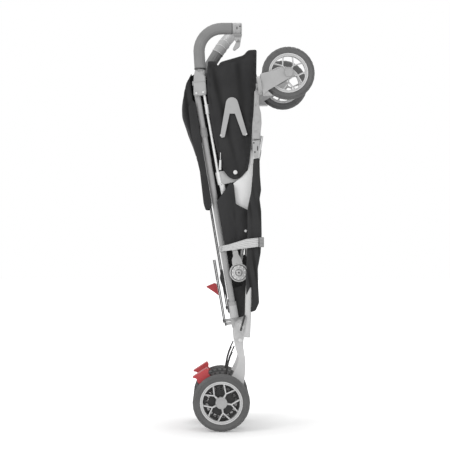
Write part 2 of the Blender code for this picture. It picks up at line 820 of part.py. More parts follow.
def wrist_clip(middle):
    """A short tab with a hook below the cap of the right handle."""
    middle = abs(middle)
    _, end = handle_path()
    x, z = end[0] + 0.0150, end[1] - GRIP_RADIUS + 0.0010
    tab = [(x - 0.0130, z), (x + 0.0120, z), (x + 0.0080, z - 0.0200), (x - 0.0040, z - 0.0210)]
    obj = plate([rounded(tab, 0.002, 2)], middle - 0.008, middle + 0.008, RIGHT)
    hook = [(x - 0.0020, z - 0.0180), (x + 0.0085, z - 0.0180), (x + 0.0060, z - 0.0330),
            (x - 0.0080, z - 0.0440), (x - 0.0135, z - 0.0410), (x - 0.0070, z - 0.0280)]
    join(obj, plate([rounded(hook, 0.003, 2)], middle - 0.006, middle + 0.006, RIGHT))
    return bake(obj)


def backrest_tube(side, parent):
    """The thin tube from hub to housing, with the hub's stem and the bracket that carries the hood."""
    s = side * THIN_Y
    points = [push_point(v, u, s) for v, u in thin_line()]
    obj = as_mesh(rod(points, THIN_RADIUS, 3))
    low = THIN_Y - 0.005
    v, u = HOOD_PIVOT
    wing = push_loop([(0.0010, 0.3750), (-0.0010, 0.4080), (0.0120, 0.4100), (v, u + 0.0075),
                      (v + 0.0340, u - 0.0030), (v + 0.0350, u - 0.0090), (v - 0.0080, u - 0.0240),
                      (0.0120, 0.3745)])
    join(obj, plate([wing], low, HOOD_ARM_Y - HOOD_ARM_THICK / 2 - GAP - 0.0005, side))
    join(obj, across(along_push(v, u), low + 0.001, STAY_OUT + 0.002, side, HOOD_PIN, 16))
    stem = push_loop([(0.0030, 0.1600), (0.0040, 0.1760), (0.0100, 0.1860), (0.0100, 0.1980),
                      (0.0232, 0.1980), (0.0232, 0.1860), (0.0290, 0.1740), (0.0300, 0.1600)])
    join(obj, plate([rounded(stem, 0.002, 1)], RAIL_Y + RAIL_RADIUS + RUNNING, HUB_HIGH - 0.0015, side))
    join(obj, recline_hub(side))
    finish(bake(obj), SIDES[side] + "_backrest_tube", parent, "silver_tube")


HUB_LOW = PUSH_Y + PUSH_RADIUS + 0.0015
HUB_HIGH = HUB_LOW + HUB_DISC_THICK
PANEL_LOW = PANEL_Y - PANEL_THICK / 2
PANEL_HIGH = PANEL_Y + PANEL_THICK / 2
STAY_LOW = PANEL_HIGH + GAP
STAY_OUT = STAY_LOW + STAY_THICK


def recline_hub(side):
    """The round toothed hub at the foot of the backrest tube, with the pin that the seat rail turns on."""
    centre = along_push(*HUB_CENTRE)
    rim_low = HUB_DISC - 0.0035
    half = HUB_DISC_THICK / 2
    profile = [(0, half - 0.0025), (rim_low, half - 0.0025), (rim_low + 0.0008, half),
               (HUB_DISC - 0.001, half), (HUB_DISC, half - 0.001), (HUB_DISC, -half), (0, -half)]
    obj = turned(profile, centre, (HUB_LOW + HUB_HIGH) / 2, side, 28)
    bolt_out = HUB_HIGH + 0.0015
    join(obj, across(centre, HUB_HIGH - 0.006, bolt_out, side, 0.0065, 6))
    join(obj, across(centre, RAIL_Y - RAIL_RADIUS - 0.0020, HUB_LOW + 0.002, side, PIN_RADIUS, 14))
    return bake(obj)


# Hood and cloth

def hood_panel(side, parent):
    """The hood's side, hanging folded beside the tubes."""
    loop = [(-0.1040, 0.9700), (-0.0842, 0.9678), (-0.0784, 0.9560), (-0.0715, 0.9670), (-0.0103, 0.9849),
            (0.0007, 0.9981), (0.0240, 1.0000), (0.0230, 0.9322), (0.0185, 0.8716), (0.0137, 0.8136),
            (0.0095, 0.7530), (0.0060, 0.7120), (-0.0006, 0.6880), (-0.0188, 0.6617), (-0.0327, 0.6569),
            (-0.0628, 0.6769), (-0.0773, 0.7120), (-0.0892, 0.7727), (-0.1000, 0.8330), (-0.1060, 0.8937),
            (-0.1058, 0.9500)]
    obj = plate([rounded(loop, 0.006, 2)], PANEL_LOW, PANEL_HIGH, side)
    pivot = along_push(*HOOD_PIVOT)
    cut(obj, across(pivot, PANEL_LOW - 0.001, PANEL_HIGH + 0.001, side, HOOD_PIN + GAP, 16))
    finish(bake(obj), SIDES[side] + "_hood_panel", parent, "black_cloth")


def hood_stay(side, parent):
    """The A-shaped stay outside the panel: two legs that meet in a round head."""
    head = along_push(0.0720, 0.5800)
    left_foot = (-0.0661, 0.7698)
    right_foot = (-0.0069, 0.7748)
    half = 0.0058
    round_head = 0.0160
    outer = [(left_foot[0] - half, left_foot[1] + 0.003)] + arc(head, round_head, 165, 15, 7) + [
        (right_foot[0] + half, right_foot[1] + 0.003), (right_foot[0] + 0.002, right_foot[1] - 0.002),
        (right_foot[0] - half, right_foot[1])]
    inner = [(head[0] + 0.0080, head[1] - 0.0270), (head[0] - 0.0060, head[1] - 0.0270)]
    outer += inner + [(left_foot[0] + half, left_foot[1]), (left_foot[0] - 0.002, left_foot[1] - 0.002)]
    obj = plate([outer], STAY_LOW, STAY_OUT, side)
    finish(obj, SIDES[side] + "_hood_stay", parent, "silver_plastic")


def hood_arm(side, parent):
    """A flat bow of the hood, turning about the rivet at the panel's foot."""
    tip_v, tip_u = 0.0990, HOOD_ARM_LENGTH
    length = math.hypot(tip_v, tip_u)
    along = Vector((tip_v, tip_u)) / length
    cross = Vector((along.y, -along.x))
    base = Vector(HOOD_PIVOT)
    half = HOOD_ARM_WIDTH / 2
    loop = [base + cross * half, base - cross * half, base - cross * half + along * length,
            base + cross * half + along * length]
    loop = rounded([tuple(p) for p in loop], half * 0.9, 3)
    obj = plate([push_loop([tuple(p) for p in loop])], HOOD_ARM_Y - HOOD_ARM_THICK / 2,
                HOOD_ARM_Y + HOOD_ARM_THICK / 2, side)
    eye = plate([circle(along_push(*HOOD_PIVOT), 0.0090, 20)], HOOD_ARM_Y - HOOD_ARM_THICK / 2,
                HOOD_ARM_Y + HOOD_ARM_THICK / 2, side)
    join(obj, eye)
    cut(obj, across(along_push(*HOOD_PIVOT), HOOD_ARM_Y - 0.004, HOOD_ARM_Y + 0.004, side,
                    HOOD_PIN + GAP, 16))
    finish(bake(obj), SIDES[side] + "_hood_arm", parent, "dark_plastic")


def soft_pieces(parent):
    """The cloth between the side frames, bunched in folds that run up the stroller."""
    direction = (math.cos(TUBE_LEAN), math.sin(TUBE_LEAN))
    back = [(-0.1419, 0.9406), (-0.1624, 0.9122), (-0.1717, 0.8711), (-0.1732, 0.8499), (-0.1725, 0.8271),
            (-0.1563, 0.7783), (-0.1441, 0.7477), (-0.1340, 0.7172), (-0.1236, 0.6934), (-0.1218, 0.6589),
            (-0.1154, 0.5952), (-0.1060, 0.5830)]
    step = link_top() + CLOTH_STEP
    edge = push_loop([(-0.0370, 0.3200), (-0.0370, step), (-0.0221, step + CLOTH_STEP), (-0.0221, 0.6000),
                      (-0.0260, 0.6080), (-0.0245, 0.6650)])
    cloth = folded_cloth(back + edge, BACK_HALF, 16, 4, 0.30, along_push(-0.0370, 0.4500), direction)
    finish(cloth, "back_cloth", parent, "black_cloth")

    hood = push_loop([(0.0230, 0.4640), (0.0240, 0.6300), (0.0330, 0.6560), (0.0500, 0.6600),
                      (0.0700, 0.6720), (0.1250, 0.6880), (0.1500, 0.7020), (0.1520, 0.6400),
                      (0.1330, 0.5830), (0.1080, 0.4900), (0.0960, 0.4640)])
    cloth = folded_cloth(rounded(hood, 0.006, 1), HOOD_HALF, 16, 4, 0.16, along_push(0.0800, 0.5700),
                         direction)
    finish(cloth, "hood_cloth", parent, "black_cloth")

    hub, along, _ = rail_direction()
    behind = hub - Vector((along.y, -along.x)) * BASE_BACK
    seat = push_loop([(-0.0165, 0.2200), (-0.0165, 0.4560), (0.0850, 0.4560)])
    seat += [tuple(behind + along * t) for t in (0.3160, 0.2100, 0.0860)]
    cloth = folded_cloth(rounded(seat, 0.006, 1), PUSH_Y - SLIDER_RADIUS - GAP, 16, 4, 0.18,
                         along_push(0.0300, 0.3300), direction)
    finish(cloth, "seat_cloth", parent, "black_cloth")

    basket = push_loop([(0.0000, 0.2080), (0.0150, 0.2080), (0.0200, 0.1720), (0.0440, 0.1640),
                        (0.0480, 0.1350), (0.0440, 0.1000), (0.0236, 0.0633), (0.0130, 0.0320),
                        (0.0040, 0.0300), (-0.0030, 0.0500), (-0.0035, 0.1200)])
    cloth = folded_cloth(rounded(basket, 0.004, 1), PLATE_IN - GAP, 16, 4, 0.22, along_push(0.0120, 0.1200),
                         direction)
    finish(cloth, "basket_cloth", parent, "black_cloth")


# Seat rail

def rail_direction():
    hub = Vector(along_push(*HUB_CENTRE))
    tip = Vector(RAIL_TIP)
    return hub, (tip - hub).normalized(), (tip - hub).length


def seat_rail(side, parent):
    """A tube that turns about the hub and carries the seat's base."""
    hub, along, length = rail_direction()
    low = hub + along * 0.004
    high = hub + along * length
    y = side * RAIL_Y
    tube = as_mesh(rod([(low.x, y, low.y), (high.x, y, high.y)], RAIL_RADIUS, 4))
    eye = across(hub, RAIL_Y - RAIL_RADIUS, RAIL_Y + RAIL_RADIUS, side, 0.009, 20)
    join(tube, eye)
    cut(tube, across(hub, RAIL_Y - 0.010, RAIL_Y + 0.010, side, PIN_RADIUS + GAP, 14))
    finish(bake(tube), SIDES[side] + "_seat_rail", parent, "silver_tube")


def seat_base(parent):
    """The quilted seat base between the two rails."""
    hub, along, length = rail_direction()
    cross = Vector((along.y, -along.x))
    half = RAIL_Y - RAIL_RADIUS - GAP
    thick = SEAT_BASE_THICK
    stretch = 9
    side_line = []
    for i in range(stretch + 1):
        t = 0.045 + (length - 0.060) * i / stretch
        crown = 0.0015 * abs(math.sin(math.pi * 3 * i / stretch))
        side_line.append((t, thick / 2 + crown))
    loop = [hub + along * t + cross * h for t, h in side_line]
    loop += [hub + along * t - cross * h * 0.8 for t, h in reversed(side_line)]
    cloth = folded_cloth([tuple(p) for p in loop], half, 8, 2, 0.18, tuple(hub), (cross.x, cross.y))
    finish(cloth, "seat_base", parent, "black_cloth")


# Front leg

def front_x(z):
    return FRONT_FOOT_X + FRONT_SLOPE * (z - 0.30)


def front_rod(low, high, side, radius, steps=20):
    a = Vector((front_x(low), side * FRONT_Y, low))
    b = Vector((front_x(high), side * FRONT_Y, high))
    return cylinder((a + b) / 2, b - a, radius, (b - a).length, steps)


def front_tube(side, parent):
    """The front leg with its pivot bracket at the foot."""
    tube = front_rod(FRONT_LOW, FRONT_HIGH, side, FRONT_TUBE)
    x, z = FRAME_PIVOT
    web = arc(FRAME_PIVOT, FRONT_LUG, 260, 80, 8) + [
        (x + 0.0080, z + 0.0280), (front_x(0.315) - 0.004, 0.318), (front_x(0.315) + 0.004, 0.318),
        (front_x(0.250) + 0.004, 0.2480), (front_x(0.250) - 0.005, 0.2480)]
    inner = LEG_Y + LEG_THICK / 2 + 0.0035
    join(tube, plate([web], inner, FRONT_Y, side))
    cut(tube, across(FRAME_PIVOT, inner - 0.001, FRONT_Y + 0.012, side, PIN_RADIUS + GAP, 16))
    finish(bake(tube), SIDES[side] + "_front_tube", parent, "silver_tube")


def caster_axis():
    return Vector((-math.sin(UNFOLD), math.cos(UNFOLD)))


def caster_bracket(side, parent):
    """The moulding over the tube's end, with the flange that the caster turns under."""
    axis = caster_axis()
    low, high = FRONT_Y - 0.0115, FRONT_Y + 0.0115
    loop = [(0.0115, 0.7600), (0.0330, 0.7600), (0.0335, 0.7821), (0.0360, 0.8030), (0.0347, 0.8291),
            (0.0305, 0.8448), (0.0285, 0.8660), (0.0290, 0.8900), (0.0175, 0.8900), (0.0165, 0.8560),
            (0.0150, 0.8291), (0.0118, 0.8004)]
    obj = plate([rounded(loop, 0.003, 1)], low, high, side)
    bevelled(obj, 0.002)
    bake(obj)
    cut(obj, front_rod(0.7300, FRONT_HIGH + GAP, side, FRONT_TUBE + GAP))
    centre = Vector(CASTER) + axis * (0.0005 + CASTER_DISC_THICK / 2)
    y = side * FRONT_WHEEL_Y
    direction = (axis.x, 0, axis.y)
    join(obj, cylinder((centre.x, y, centre.y), direction, CASTER_DISC, CASTER_DISC_THICK, 28))
    bore = Vector(CASTER) + axis * 0.006
    cut(obj, cylinder((bore.x, y, bore.y), direction, CASTER_STEM + GAP, 0.030, 16))
    finish(bake(obj), SIDES[side] + "_caster_bracket", parent, "grey_plastic")


def caster_fork(side, parent):
    """Crown, two tapered arms and the wheel's axle as one fork, on a stem that turns in the bracket."""
    axis = caster_axis()
    face = Vector((-axis.y, axis.x))
    if face.y < 0:
        face = -face
    centre = Vector(CASTER)
    y = FRONT_WHEEL_Y
    inside = FORK_INSIDE / 2
    arm = [centre + face * 0.0280, centre - face * 0.0285, centre - axis * 0.0130 - face * 0.0180,
           Vector(FRONT_AXLE) + Vector((0.0050, -0.0125)), Vector(FRONT_AXLE) + Vector((0.0128, 0.0010)),
           Vector(FRONT_AXLE) + Vector((0.0060, 0.0120)), Vector(FRONT_AXLE) + Vector((-0.0040, 0.0125)),
           centre - axis * 0.0070 + face * 0.0290]
    arm_loop = [tuple(p) for p in rounded([tuple(p) for p in arm], 0.006, 2)]
    obj = plate([arm_loop], y + inside, y + inside + FORK_WALL, side)
    join(obj, plate([arm_loop], y - inside - FORK_WALL, y - inside, side))
    room = FRONT_RADIUS + 0.0022
    wheel_side = []
    for i in range(7):
        t = -0.0265 + 0.053 * i / 6
        p = centre + face * t
        dz = p.y - FRONT_AXLE[1]
        wheel_side.append((FRONT_AXLE[0] - math.sqrt(room ** 2 - dz ** 2), p.y))
    crown = [tuple(centre - face * 0.0265)] + wheel_side + [tuple(centre + face * 0.0265)]
    join(obj, plate([crown], y - inside - 0.001, y + inside + 0.001, side))
    stem = centre + axis * 0.006
    join(obj, cylinder((stem.x, side * y, stem.y), (axis.x, 0, axis.y), CASTER_STEM, 0.016, 16))
    join(obj, across(FRONT_AXLE, y - inside - 0.001, y - HUB_WIDTH / 2 + AXLE_BORE - RUNNING, side,
                     AXLE_RADIUS, 12))
    join(obj, across(FRONT_AXLE, y + inside + 0.001, y + inside + FORK_WALL + 0.003, side,
                     FORK_EYE * 0.8, 20))
    finish(bake(obj), SIDES[side] + "_caster_fork", parent, "silver_plastic")


def side_flap(side, parent):
    """The seat's side cloth, a sleeve round the front tube."""
    loop = [(0.0085, 0.3160), (0.0205, 0.3140), (0.0295, 0.3350), (0.0270, 0.3950), (0.0290, 0.4300),
            (0.0355, 0.4800), (0.0372, 0.5129), (0.0352, 0.5750), (0.0310, 0.6080), (0.0350, 0.6300),
            (0.0318, 0.6700), (0.0308, 0.7130), (0.0120, 0.7150), (0.0070, 0.6600), (0.0040, 0.5400),
            (0.0020, 0.4100)]
    low, high = FRONT_Y - 0.0110, FRONT_Y + 0.0125
    obj = plate([rounded(loop, 0.004, 1)], low, high, side)
    bevelled(obj, 0.004)
    bake(obj)
    wing = [(-0.0607, 0.4919), (0.0120, 0.4990), (0.0120, 0.5790), (0.0008, 0.5782), (-0.0306, 0.5939),
            (-0.0359, 0.6462), (-0.0463, 0.6515), (-0.0568, 0.6332), (-0.0672, 0.6201), (-0.0803, 0.6005)]
    panel = plate([rounded(wing, 0.004, 1)], low + 0.0003, low + 0.0003 + FLAP_THICK, side)
    bevelled(panel, 0.0015)
    join(obj, bake(panel))
    cut(obj, front_rod(0.30, 0.74, side, FRONT_TUBE + GAP))
    finish(bake(obj), SIDES[side] + "_side_flap", parent, "black_cloth")


# Links

def link_angle(reach, length):
    return math.asin(reach / length)


def link_top():
    """The height of the cross links' upper ends along the push tubes."""
    return LINK_FOOT + LINK_LENGTH * math.cos(link_angle(2 * LINK_Y, LINK_LENGTH)) + LINK_WIDTH / 2


def bar(side, foot_v, foot_u, foot_y, reach, length, parent, name, finish_name):
    """A flat link in a plane behind the push tubes, from its foot on one side towards the other."""
    angle = link_angle(reach, length)
    along = Vector((-side * math.sin(angle), math.cos(angle)))
    half = LINK_WIDTH / 2
    foot = Vector((side * foot_y, foot_u))
    tip = foot + along * length
    ends = []
    start = math.degrees(math.atan2(along.y, along.x))
    ends += arc(foot, half, start + 90, start + 270, 6)
    ends += arc(tip, half, start - 90, start + 90, 6)
    data = bpy.data.curves.new("bar", "CURVE")
    data.dimensions = "2D"
    data.fill_mode = "BOTH"
    data.extrude = LINK_THICK / 2
    spline = data.splines.new("POLY")
    spline.points.add(len(ends) - 1)
    for point, (y, u) in zip(spline.points, ends):
        point.co = (y, u, 0, 1)
    spline.use_cyclic_u = True
    for hole_centre in (foot, tip):
        hole = data.splines.new("POLY")
        loop = circle(hole_centre, LINK_PIN + GAP, 12)
        hole.points.add(len(loop) - 1)
        for point, (y, u) in zip(hole.points, loop):
            point.co = (y, u, 0, 1)
        hole.use_cyclic_u = True
    obj = bpy.data.objects.new("bar", data)
    PARTS.objects.link(obj)
    across_tube = Vector((math.cos(TUBE_LEAN), 0, math.sin(TUBE_LEAN)))
    up_tube = Vector((-math.sin(TUBE_LEAN), 0, math.cos(TUBE_LEAN)))
    turn = Matrix((Vector((0, 1, 0)), up_tube, across_tube)).transposed().to_4x4()
    x, z = along_push(foot_v, 0)
    obj.matrix_world = Matrix.Translation((x, 0, z)) @ turn
    return finish(as_mesh(obj), name, parent, finish_name)


def slider(side, parent):
    """A collar on the push tube with the boss that the other side's link reaches."""
    angle = link_angle(2 * LINK_Y, LINK_LENGTH)
    u = LINK_FOOT + LINK_LENGTH * math.cos(angle)
    outer = SLIDER_RADIUS
    obj = push_rod(PUSH_V, u - SLIDER_LENGTH / 2, u + SLIDER_LENGTH / 2, side * PUSH_Y, outer, 20)
    v = LINK_B_V if side == RIGHT else LINK_A_V
    join(obj, push_pin(v + LINK_THICK / 2 + GAP, PUSH_V - outer + 0.002, u, side * LINK_Y, 0.005, 14))
    cut(obj, push_rod(PUSH_V, u - 0.03, u + 0.03, side * PUSH_Y, PUSH_RADIUS + GAP, 20))
    finish(bake(obj), SIDES[side] + "_link_slider", parent, "grey_plastic")


def fold_pedal_place():
    """Where the fold pedal lies on its bar, as its back, height and depth."""
    angle = link_angle(BAR_Y, BAR_LENGTH)
    u = BAR_FOOT + FOLD_PEDAL_AT * math.cos(angle)
    y = BAR_Y - FOLD_PEDAL_AT * math.sin(angle)
    return BAR_B_V - LINK_THICK / 2 - GAP, u, y


def fold_pedal_foot():
    """The pedal's hinge line, at its lower edge on the bar."""
    back, u, y = fold_pedal_place()
    return push_point(back, u - 0.0170, y)


def fold_pedal(parent):
    """The red foot pedal that unlocks the spreader."""
    back, u, y = fold_pedal_place()
    loop = push_loop([(back, u + 0.0150), (back - 0.0060, u + 0.0185), (back - 0.0295, u + 0.0130),
                      (back - 0.0280, u + 0.0105), (back - 0.0100, u - 0.0060), (back, u - 0.0170)])
    obj = plate([rounded(loop, 0.002, 2)], y - 0.016, y + 0.016, LEFT)
    finish(obj, "fold_pedal", parent, "red_plastic")


# Carry strap

def carry_strap(parent):
    """Webbing beside the bundle, from a clamp on the push tube to a clip in front of the front leg."""
    foot = along_push(PUSH_V, STRAP_FOOT)
    inner = STRAP_Y
    outer = STRAP_Y + STRAP_THICK
    x, z = foot
    loop = [(x - 0.0060, z + 0.0060), (x + 0.0190, z + 0.0100), (x + 0.0700, z + 0.0255),
            (x + 0.0930, z + 0.0290), (x + 0.0930, z + 0.0045), (x + 0.0700, z + 0.0000),
            (x + 0.0250, z - 0.0060), (x - 0.0045, z - 0.0075)]
    obj = plate([rounded(loop, 0.002, 2)], inner, outer, RIGHT)
    finish(obj, "carry_strap", parent, "webbing")
    end_x = x + 0.0930 + GAP
    low = (end_x, RIGHT * (outer + 0.001), z + 0.0040)
    clip = box(low, (end_x + 0.0125, RIGHT * (inner - 0.0015), z + 0.0300))
    bevelled(clip, 0.001)
    finish(clip, "strap_clip", parent, "grey_plastic")


# Assembly

def build():
    px, pz = FRAME_PIVOT
    ax, az = REAR_AXLE
    hub = along_push(*HUB_CENTRE)
    hood = along_push(*HOOD_PIVOT)
    link_foot = along_push(LINK_A_V, LINK_FOOT)
    bar_foot = along_push(BAR_A_V, BAR_FOOT)
    body("right_push", "root", px, -LEG_Y, pz)
    body("left_push", "right_push", px, LEG_Y, pz)
    body("left_rear", "left_push", px, LEG_Y, pz)
    rear_bodies = {RIGHT: "root", LEFT: "left_rear"}
    for side, name in SIDES.items():
        rear = rear_bodies[side]
        push = name + "_push"
        body(name + "_front", rear, px, side * FRONT_Y, pz)
        body(name + "_brake", rear, PEDAL_PIN[0], side * LEG_Y, PEDAL_PIN[1])
        body(name + "_inner_wheel", rear, ax, side * REAR_INNER_Y, az)
        body(name + "_outer_wheel", rear, ax, side * REAR_OUTER_Y, az)
        body(name + "_caster", name + "_front", CASTER[0], side * FRONT_WHEEL_Y, CASTER[1])
        body(name + "_front_wheel", name + "_caster", FRONT_AXLE[0], side * FRONT_WHEEL_Y, FRONT_AXLE[1])
        body(name + "_handle", push, *swivel_point(side))
        body(name + "_button", push, BUTTON_PLACE[0], side * HANDLE_Y, BUTTON_PLACE[1])
        body(name + "_slider", push, *push_point(PUSH_V, LINK_FOOT, side * PUSH_Y))
        body(name + "_link", push, link_foot[0], side * LINK_Y, link_foot[1])
        body(name + "_bar", push, bar_foot[0], side * BAR_Y, bar_foot[1])
    body("right_seat", "right_push", hub[0], -RAIL_Y, hub[1])
    body("left_seat", "right_seat", hub[0], RAIL_Y, hub[1])
    body("right_hood", "right_push", hood[0], -HOOD_ARM_Y, hood[1])
    body("left_hood", "right_hood", hood[0], HOOD_ARM_Y, hood[1])
    strap_foot = along_push(PUSH_V, STRAP_FOOT)
    body("strap", "right_push", strap_foot[0] - 0.0065, -STRAP_Y, strap_foot[1])
    body("pedal", "left_bar", *fold_pedal_foot())

    for side, name in SIDES.items():
        rear = rear_bodies[side]
        push = name + "_push"
        front = name + "_front"
        rear_leg(side, rear)
        brake_pedal(side, name + "_brake")
        brake_cable(side, rear)
        wheel(name + "_rear_outer", name + "_outer_wheel", REAR_AXLE, REAR_OUTER_Y, side, REAR_SIZES,
              math.radians(63), 28)
        wheel(name + "_rear_inner", name + "_inner_wheel", REAR_AXLE, REAR_INNER_Y, side, REAR_SIZES,
              math.radians(30), 22, facing=-1)
        wheel(name + "_front", name + "_front_wheel", FRONT_AXLE, FRONT_WHEEL_Y, side, FRONT_SIZES,
              math.radians(56), 28)
        push_tube(side, push)
        handle_housing(side, push)
        handle_button(side, name + "_button")
        handle(side, name + "_handle")
        backrest_tube(side, push)
        hood_panel(side, push)
        hood_stay(side, push)
        hood_arm(side, name + "_hood")
        seat_rail(side, name + "_seat")
        front_tube(side, front)
        caster_bracket(side, front)
        caster_fork(side, name + "_caster")
        side_flap(side, front)
        slider(side, name + "_slider")
    soft_pieces("right_push")
    seat_base("right_seat")
    cross = (LINK_FOOT, LINK_Y, 2 * LINK_Y, LINK_LENGTH)
    bar(RIGHT, LINK_A_V, *cross, "right_link", "cross_link_right", "silver_tube")
    bar(LEFT, LINK_B_V, *cross, "left_link", "cross_link_left", "silver_tube")
    spreader = (BAR_FOOT, BAR_Y, BAR_Y, BAR_LENGTH)
    bar(RIGHT, BAR_A_V, *spreader, "right_bar", "spreader_right", "dark_plastic")
    bar(LEFT, BAR_B_V, *spreader, "left_bar", "spreader_left", "dark_plastic")
    fold_pedal("pedal")
    carry_strap("strap")


def centre_on_floor():
    """Moves the whole stroller so that the middle of its box stands over the origin."""
    bpy.context.view_layer.update()
    graph = bpy.context.evaluated_depsgraph_get()
    lows = [math.inf] * 3
    highs = [-math.inf] * 3
    for obj in PARTS.objects:
        if obj.type not in ("MESH", "CURVE"):
            continue
        evaluated = obj.evaluated_get(graph)
        mesh = evaluated.to_mesh()
        for vertex in mesh.vertices:
            place = evaluated.matrix_world @ vertex.co
            for axis in range(3):
                lows[axis] = min(lows[axis], place[axis])
                highs[axis] = max(highs[axis], place[axis])
        evaluated.to_mesh_clear()
    STAND.location = (-(lows[0] + highs[0]) / 2, -(lows[1] + highs[1]) / 2, -lows[2])
    bpy.context.view_layer.update()


build()
centre_on_floor()
for part in PARTS.objects:
    if part.type == "MESH":
        part.data.shade_smooth()
        part.data.set_sharp_from_angle(angle=math.radians(35))
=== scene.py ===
import json
import math

import bmesh
import bpy
from mathutils import Matrix, Vector, noise


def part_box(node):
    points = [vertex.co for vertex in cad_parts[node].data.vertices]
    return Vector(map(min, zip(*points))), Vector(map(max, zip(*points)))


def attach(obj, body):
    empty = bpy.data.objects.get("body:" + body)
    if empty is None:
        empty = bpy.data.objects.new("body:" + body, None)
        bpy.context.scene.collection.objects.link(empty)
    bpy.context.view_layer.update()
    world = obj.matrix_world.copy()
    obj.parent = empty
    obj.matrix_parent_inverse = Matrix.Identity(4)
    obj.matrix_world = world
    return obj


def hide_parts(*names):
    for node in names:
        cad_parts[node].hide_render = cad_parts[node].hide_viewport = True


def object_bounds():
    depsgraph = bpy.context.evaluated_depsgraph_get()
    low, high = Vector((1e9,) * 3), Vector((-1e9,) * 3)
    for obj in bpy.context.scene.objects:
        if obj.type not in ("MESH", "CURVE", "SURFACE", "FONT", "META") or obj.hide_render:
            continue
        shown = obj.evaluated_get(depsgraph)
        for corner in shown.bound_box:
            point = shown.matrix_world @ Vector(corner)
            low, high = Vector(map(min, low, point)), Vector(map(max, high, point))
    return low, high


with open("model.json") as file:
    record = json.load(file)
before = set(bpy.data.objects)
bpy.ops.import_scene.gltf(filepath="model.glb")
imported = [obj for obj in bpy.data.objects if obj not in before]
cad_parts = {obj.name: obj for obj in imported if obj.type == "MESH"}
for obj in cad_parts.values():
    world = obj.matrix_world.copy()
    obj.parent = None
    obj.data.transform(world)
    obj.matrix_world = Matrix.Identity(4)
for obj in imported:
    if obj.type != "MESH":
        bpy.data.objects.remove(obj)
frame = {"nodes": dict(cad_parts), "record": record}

cadLow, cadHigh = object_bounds()
nodes = frame["nodes"]
print("frame loaded with", len(nodes), "nodes")

# the camera stands where the photograph was taken from, level, at half the stroller's height
cameraSet = {
    "place": (-0.09365, -3.45, 0.505),
    "lens": 102.2,
    "sensor": 36,
    "shift": (0.0289, 0.0289),
}

# measures that the frame shares with the pieces made here
floorZ = cadLow.z
pivot = Vector((-0.01635, 0, 0.2743))
tubeLean = math.radians(9.54)
up = Vector((-math.sin(tubeLean), 0, math.cos(tubeLean)))
ahead = Vector((math.cos(tubeLean), 0, math.sin(tubeLean)))
# the outlines of the side view were drawn this much too far ahead
sideShift = 0.00025
rightSide, leftSide = -1, 1
sideNames = {rightSide: "right", leftSide: "left"}
rearBodies = {rightSide: "right_rear_frame", leftSide: "left_rear"}


def bodyOf(side, part):
    return rearBodies[side] if part == "rear" else sideNames[side] + "_" + part


def tubePoint(v, u, y=0.0):
    # v runs forward from the push tube's line and u up along it
    place = pivot + ahead * v + up * u
    return Vector((place.x, y, place.z))


def tubeFrame(place):
    # the v and u of a place in the side view
    offset = Vector((place.x, 0, place.z)) - Vector((pivot.x, 0, pivot.z))
    return offset.dot(ahead), offset.dot(up)


def toTube(points):
    # an outline of the side view, turned from x and z to v and u
    return [tubeFrame(Vector((x, 0, z))) for x, z in points]


def fromTube(points):
    # and back, from v and u to x and z
    return [(place.x, place.z) for place in (tubePoint(v, u) for v, u in points)]


def around(x, z, radius, angle):
    return x + radius * math.cos(angle), z + radius * math.sin(angle)


def makeObject(name, shape):
    mesh = bpy.data.meshes.new(name)
    shape.to_mesh(mesh)
    shape.free()
    obj = bpy.data.objects.new(name, mesh)
    bpy.context.scene.collection.objects.link(obj)
    return obj


def dress(obj, material, body, smooth=40):
    # paints a piece, rides it on its body and smooths its round faces
    obj.data.materials.clear()
    obj.data.materials.append(material)
    if smooth:
        obj.data.shade_smooth()
        obj.data.set_sharp_from_angle(angle=math.radians(smooth))
    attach(obj, body)
    return obj


def applyModifiers(obj):
    bpy.context.view_layer.update()
    graph = bpy.context.evaluated_depsgraph_get()
    mesh = bpy.data.meshes.new_from_object(obj.evaluated_get(graph))
    obj.modifiers.clear()
    obj.data = mesh
    return obj


def outwards(shape):
    bmesh.ops.remove_doubles(shape, verts=shape.verts, dist=1e-6)
    bmesh.ops.recalc_face_normals(shape, faces=shape.faces)
    return shape


def thicken(shape, way):
    # draws a flat face out into a slab
    made = bmesh.ops.extrude_face_region(shape, geom=shape.faces[:], use_keep_orig=True)
    verts = [part for part in made["geom"] if isinstance(part, bmesh.types.BMVert)]
    bmesh.ops.translate(shape, vec=way, verts=verts)
    return outwards(shape)


def soften(obj):
    subdivision = obj.modifiers.new("soften", "SUBSURF")
    subdivision.levels = subdivision.render_levels = 1
    return applyModifiers(obj)


def wallObject(name, shape, side, thick):
    # a sheet with a thickness, facing away from the middle
    if side < 0:
        bmesh.ops.recalc_face_normals(shape, faces=shape.faces)
    obj = makeObject(name, shape)
    wall = obj.modifiers.new("wall", "SOLIDIFY")
    wall.thickness = thick
    wall.offset = 0
    return applyModifiers(obj)


# nodes, and the groups of them that several materials share

def feed(tree, socket, value):
    # links another node's output, or sets a value
    if isinstance(value, bpy.types.NodeSocket):
        tree.links.new(value, socket)
    else:
        socket.default_value = value


def addNode(tree, kind, *inputs, **values):
    # inputs go to the node's sockets in order, values to its sockets and settings by name
    node = tree.nodes.new(kind)
    for key, value in values.items():
        if key in node.inputs:
            feed(tree, node.inputs[key], value)
        else:
            setattr(node, key, value)
    for socket, value in zip(node.inputs, inputs):
        feed(tree, socket, value)
    return node


def mixNode(tree, mask, first, second, kind="RGBA"):
    # goes from the first to the second, both colours or both numbers, as a mask goes from 0 to 1
    node = addNode(tree, "ShaderNodeMix", mask, data_type=kind)
    place, result = (6, 2) if kind == "RGBA" else (2, 0)
    feed(tree, node.inputs[place], first)
    feed(tree, node.inputs[place + 1], second)
    return node.outputs[result]


def softStep(tree, source, low, high):
    # a mask that goes from 0 to 1 as its source goes from low to high
    return addNode(tree, "ShaderNodeMapRange", source, low, high).outputs[0]


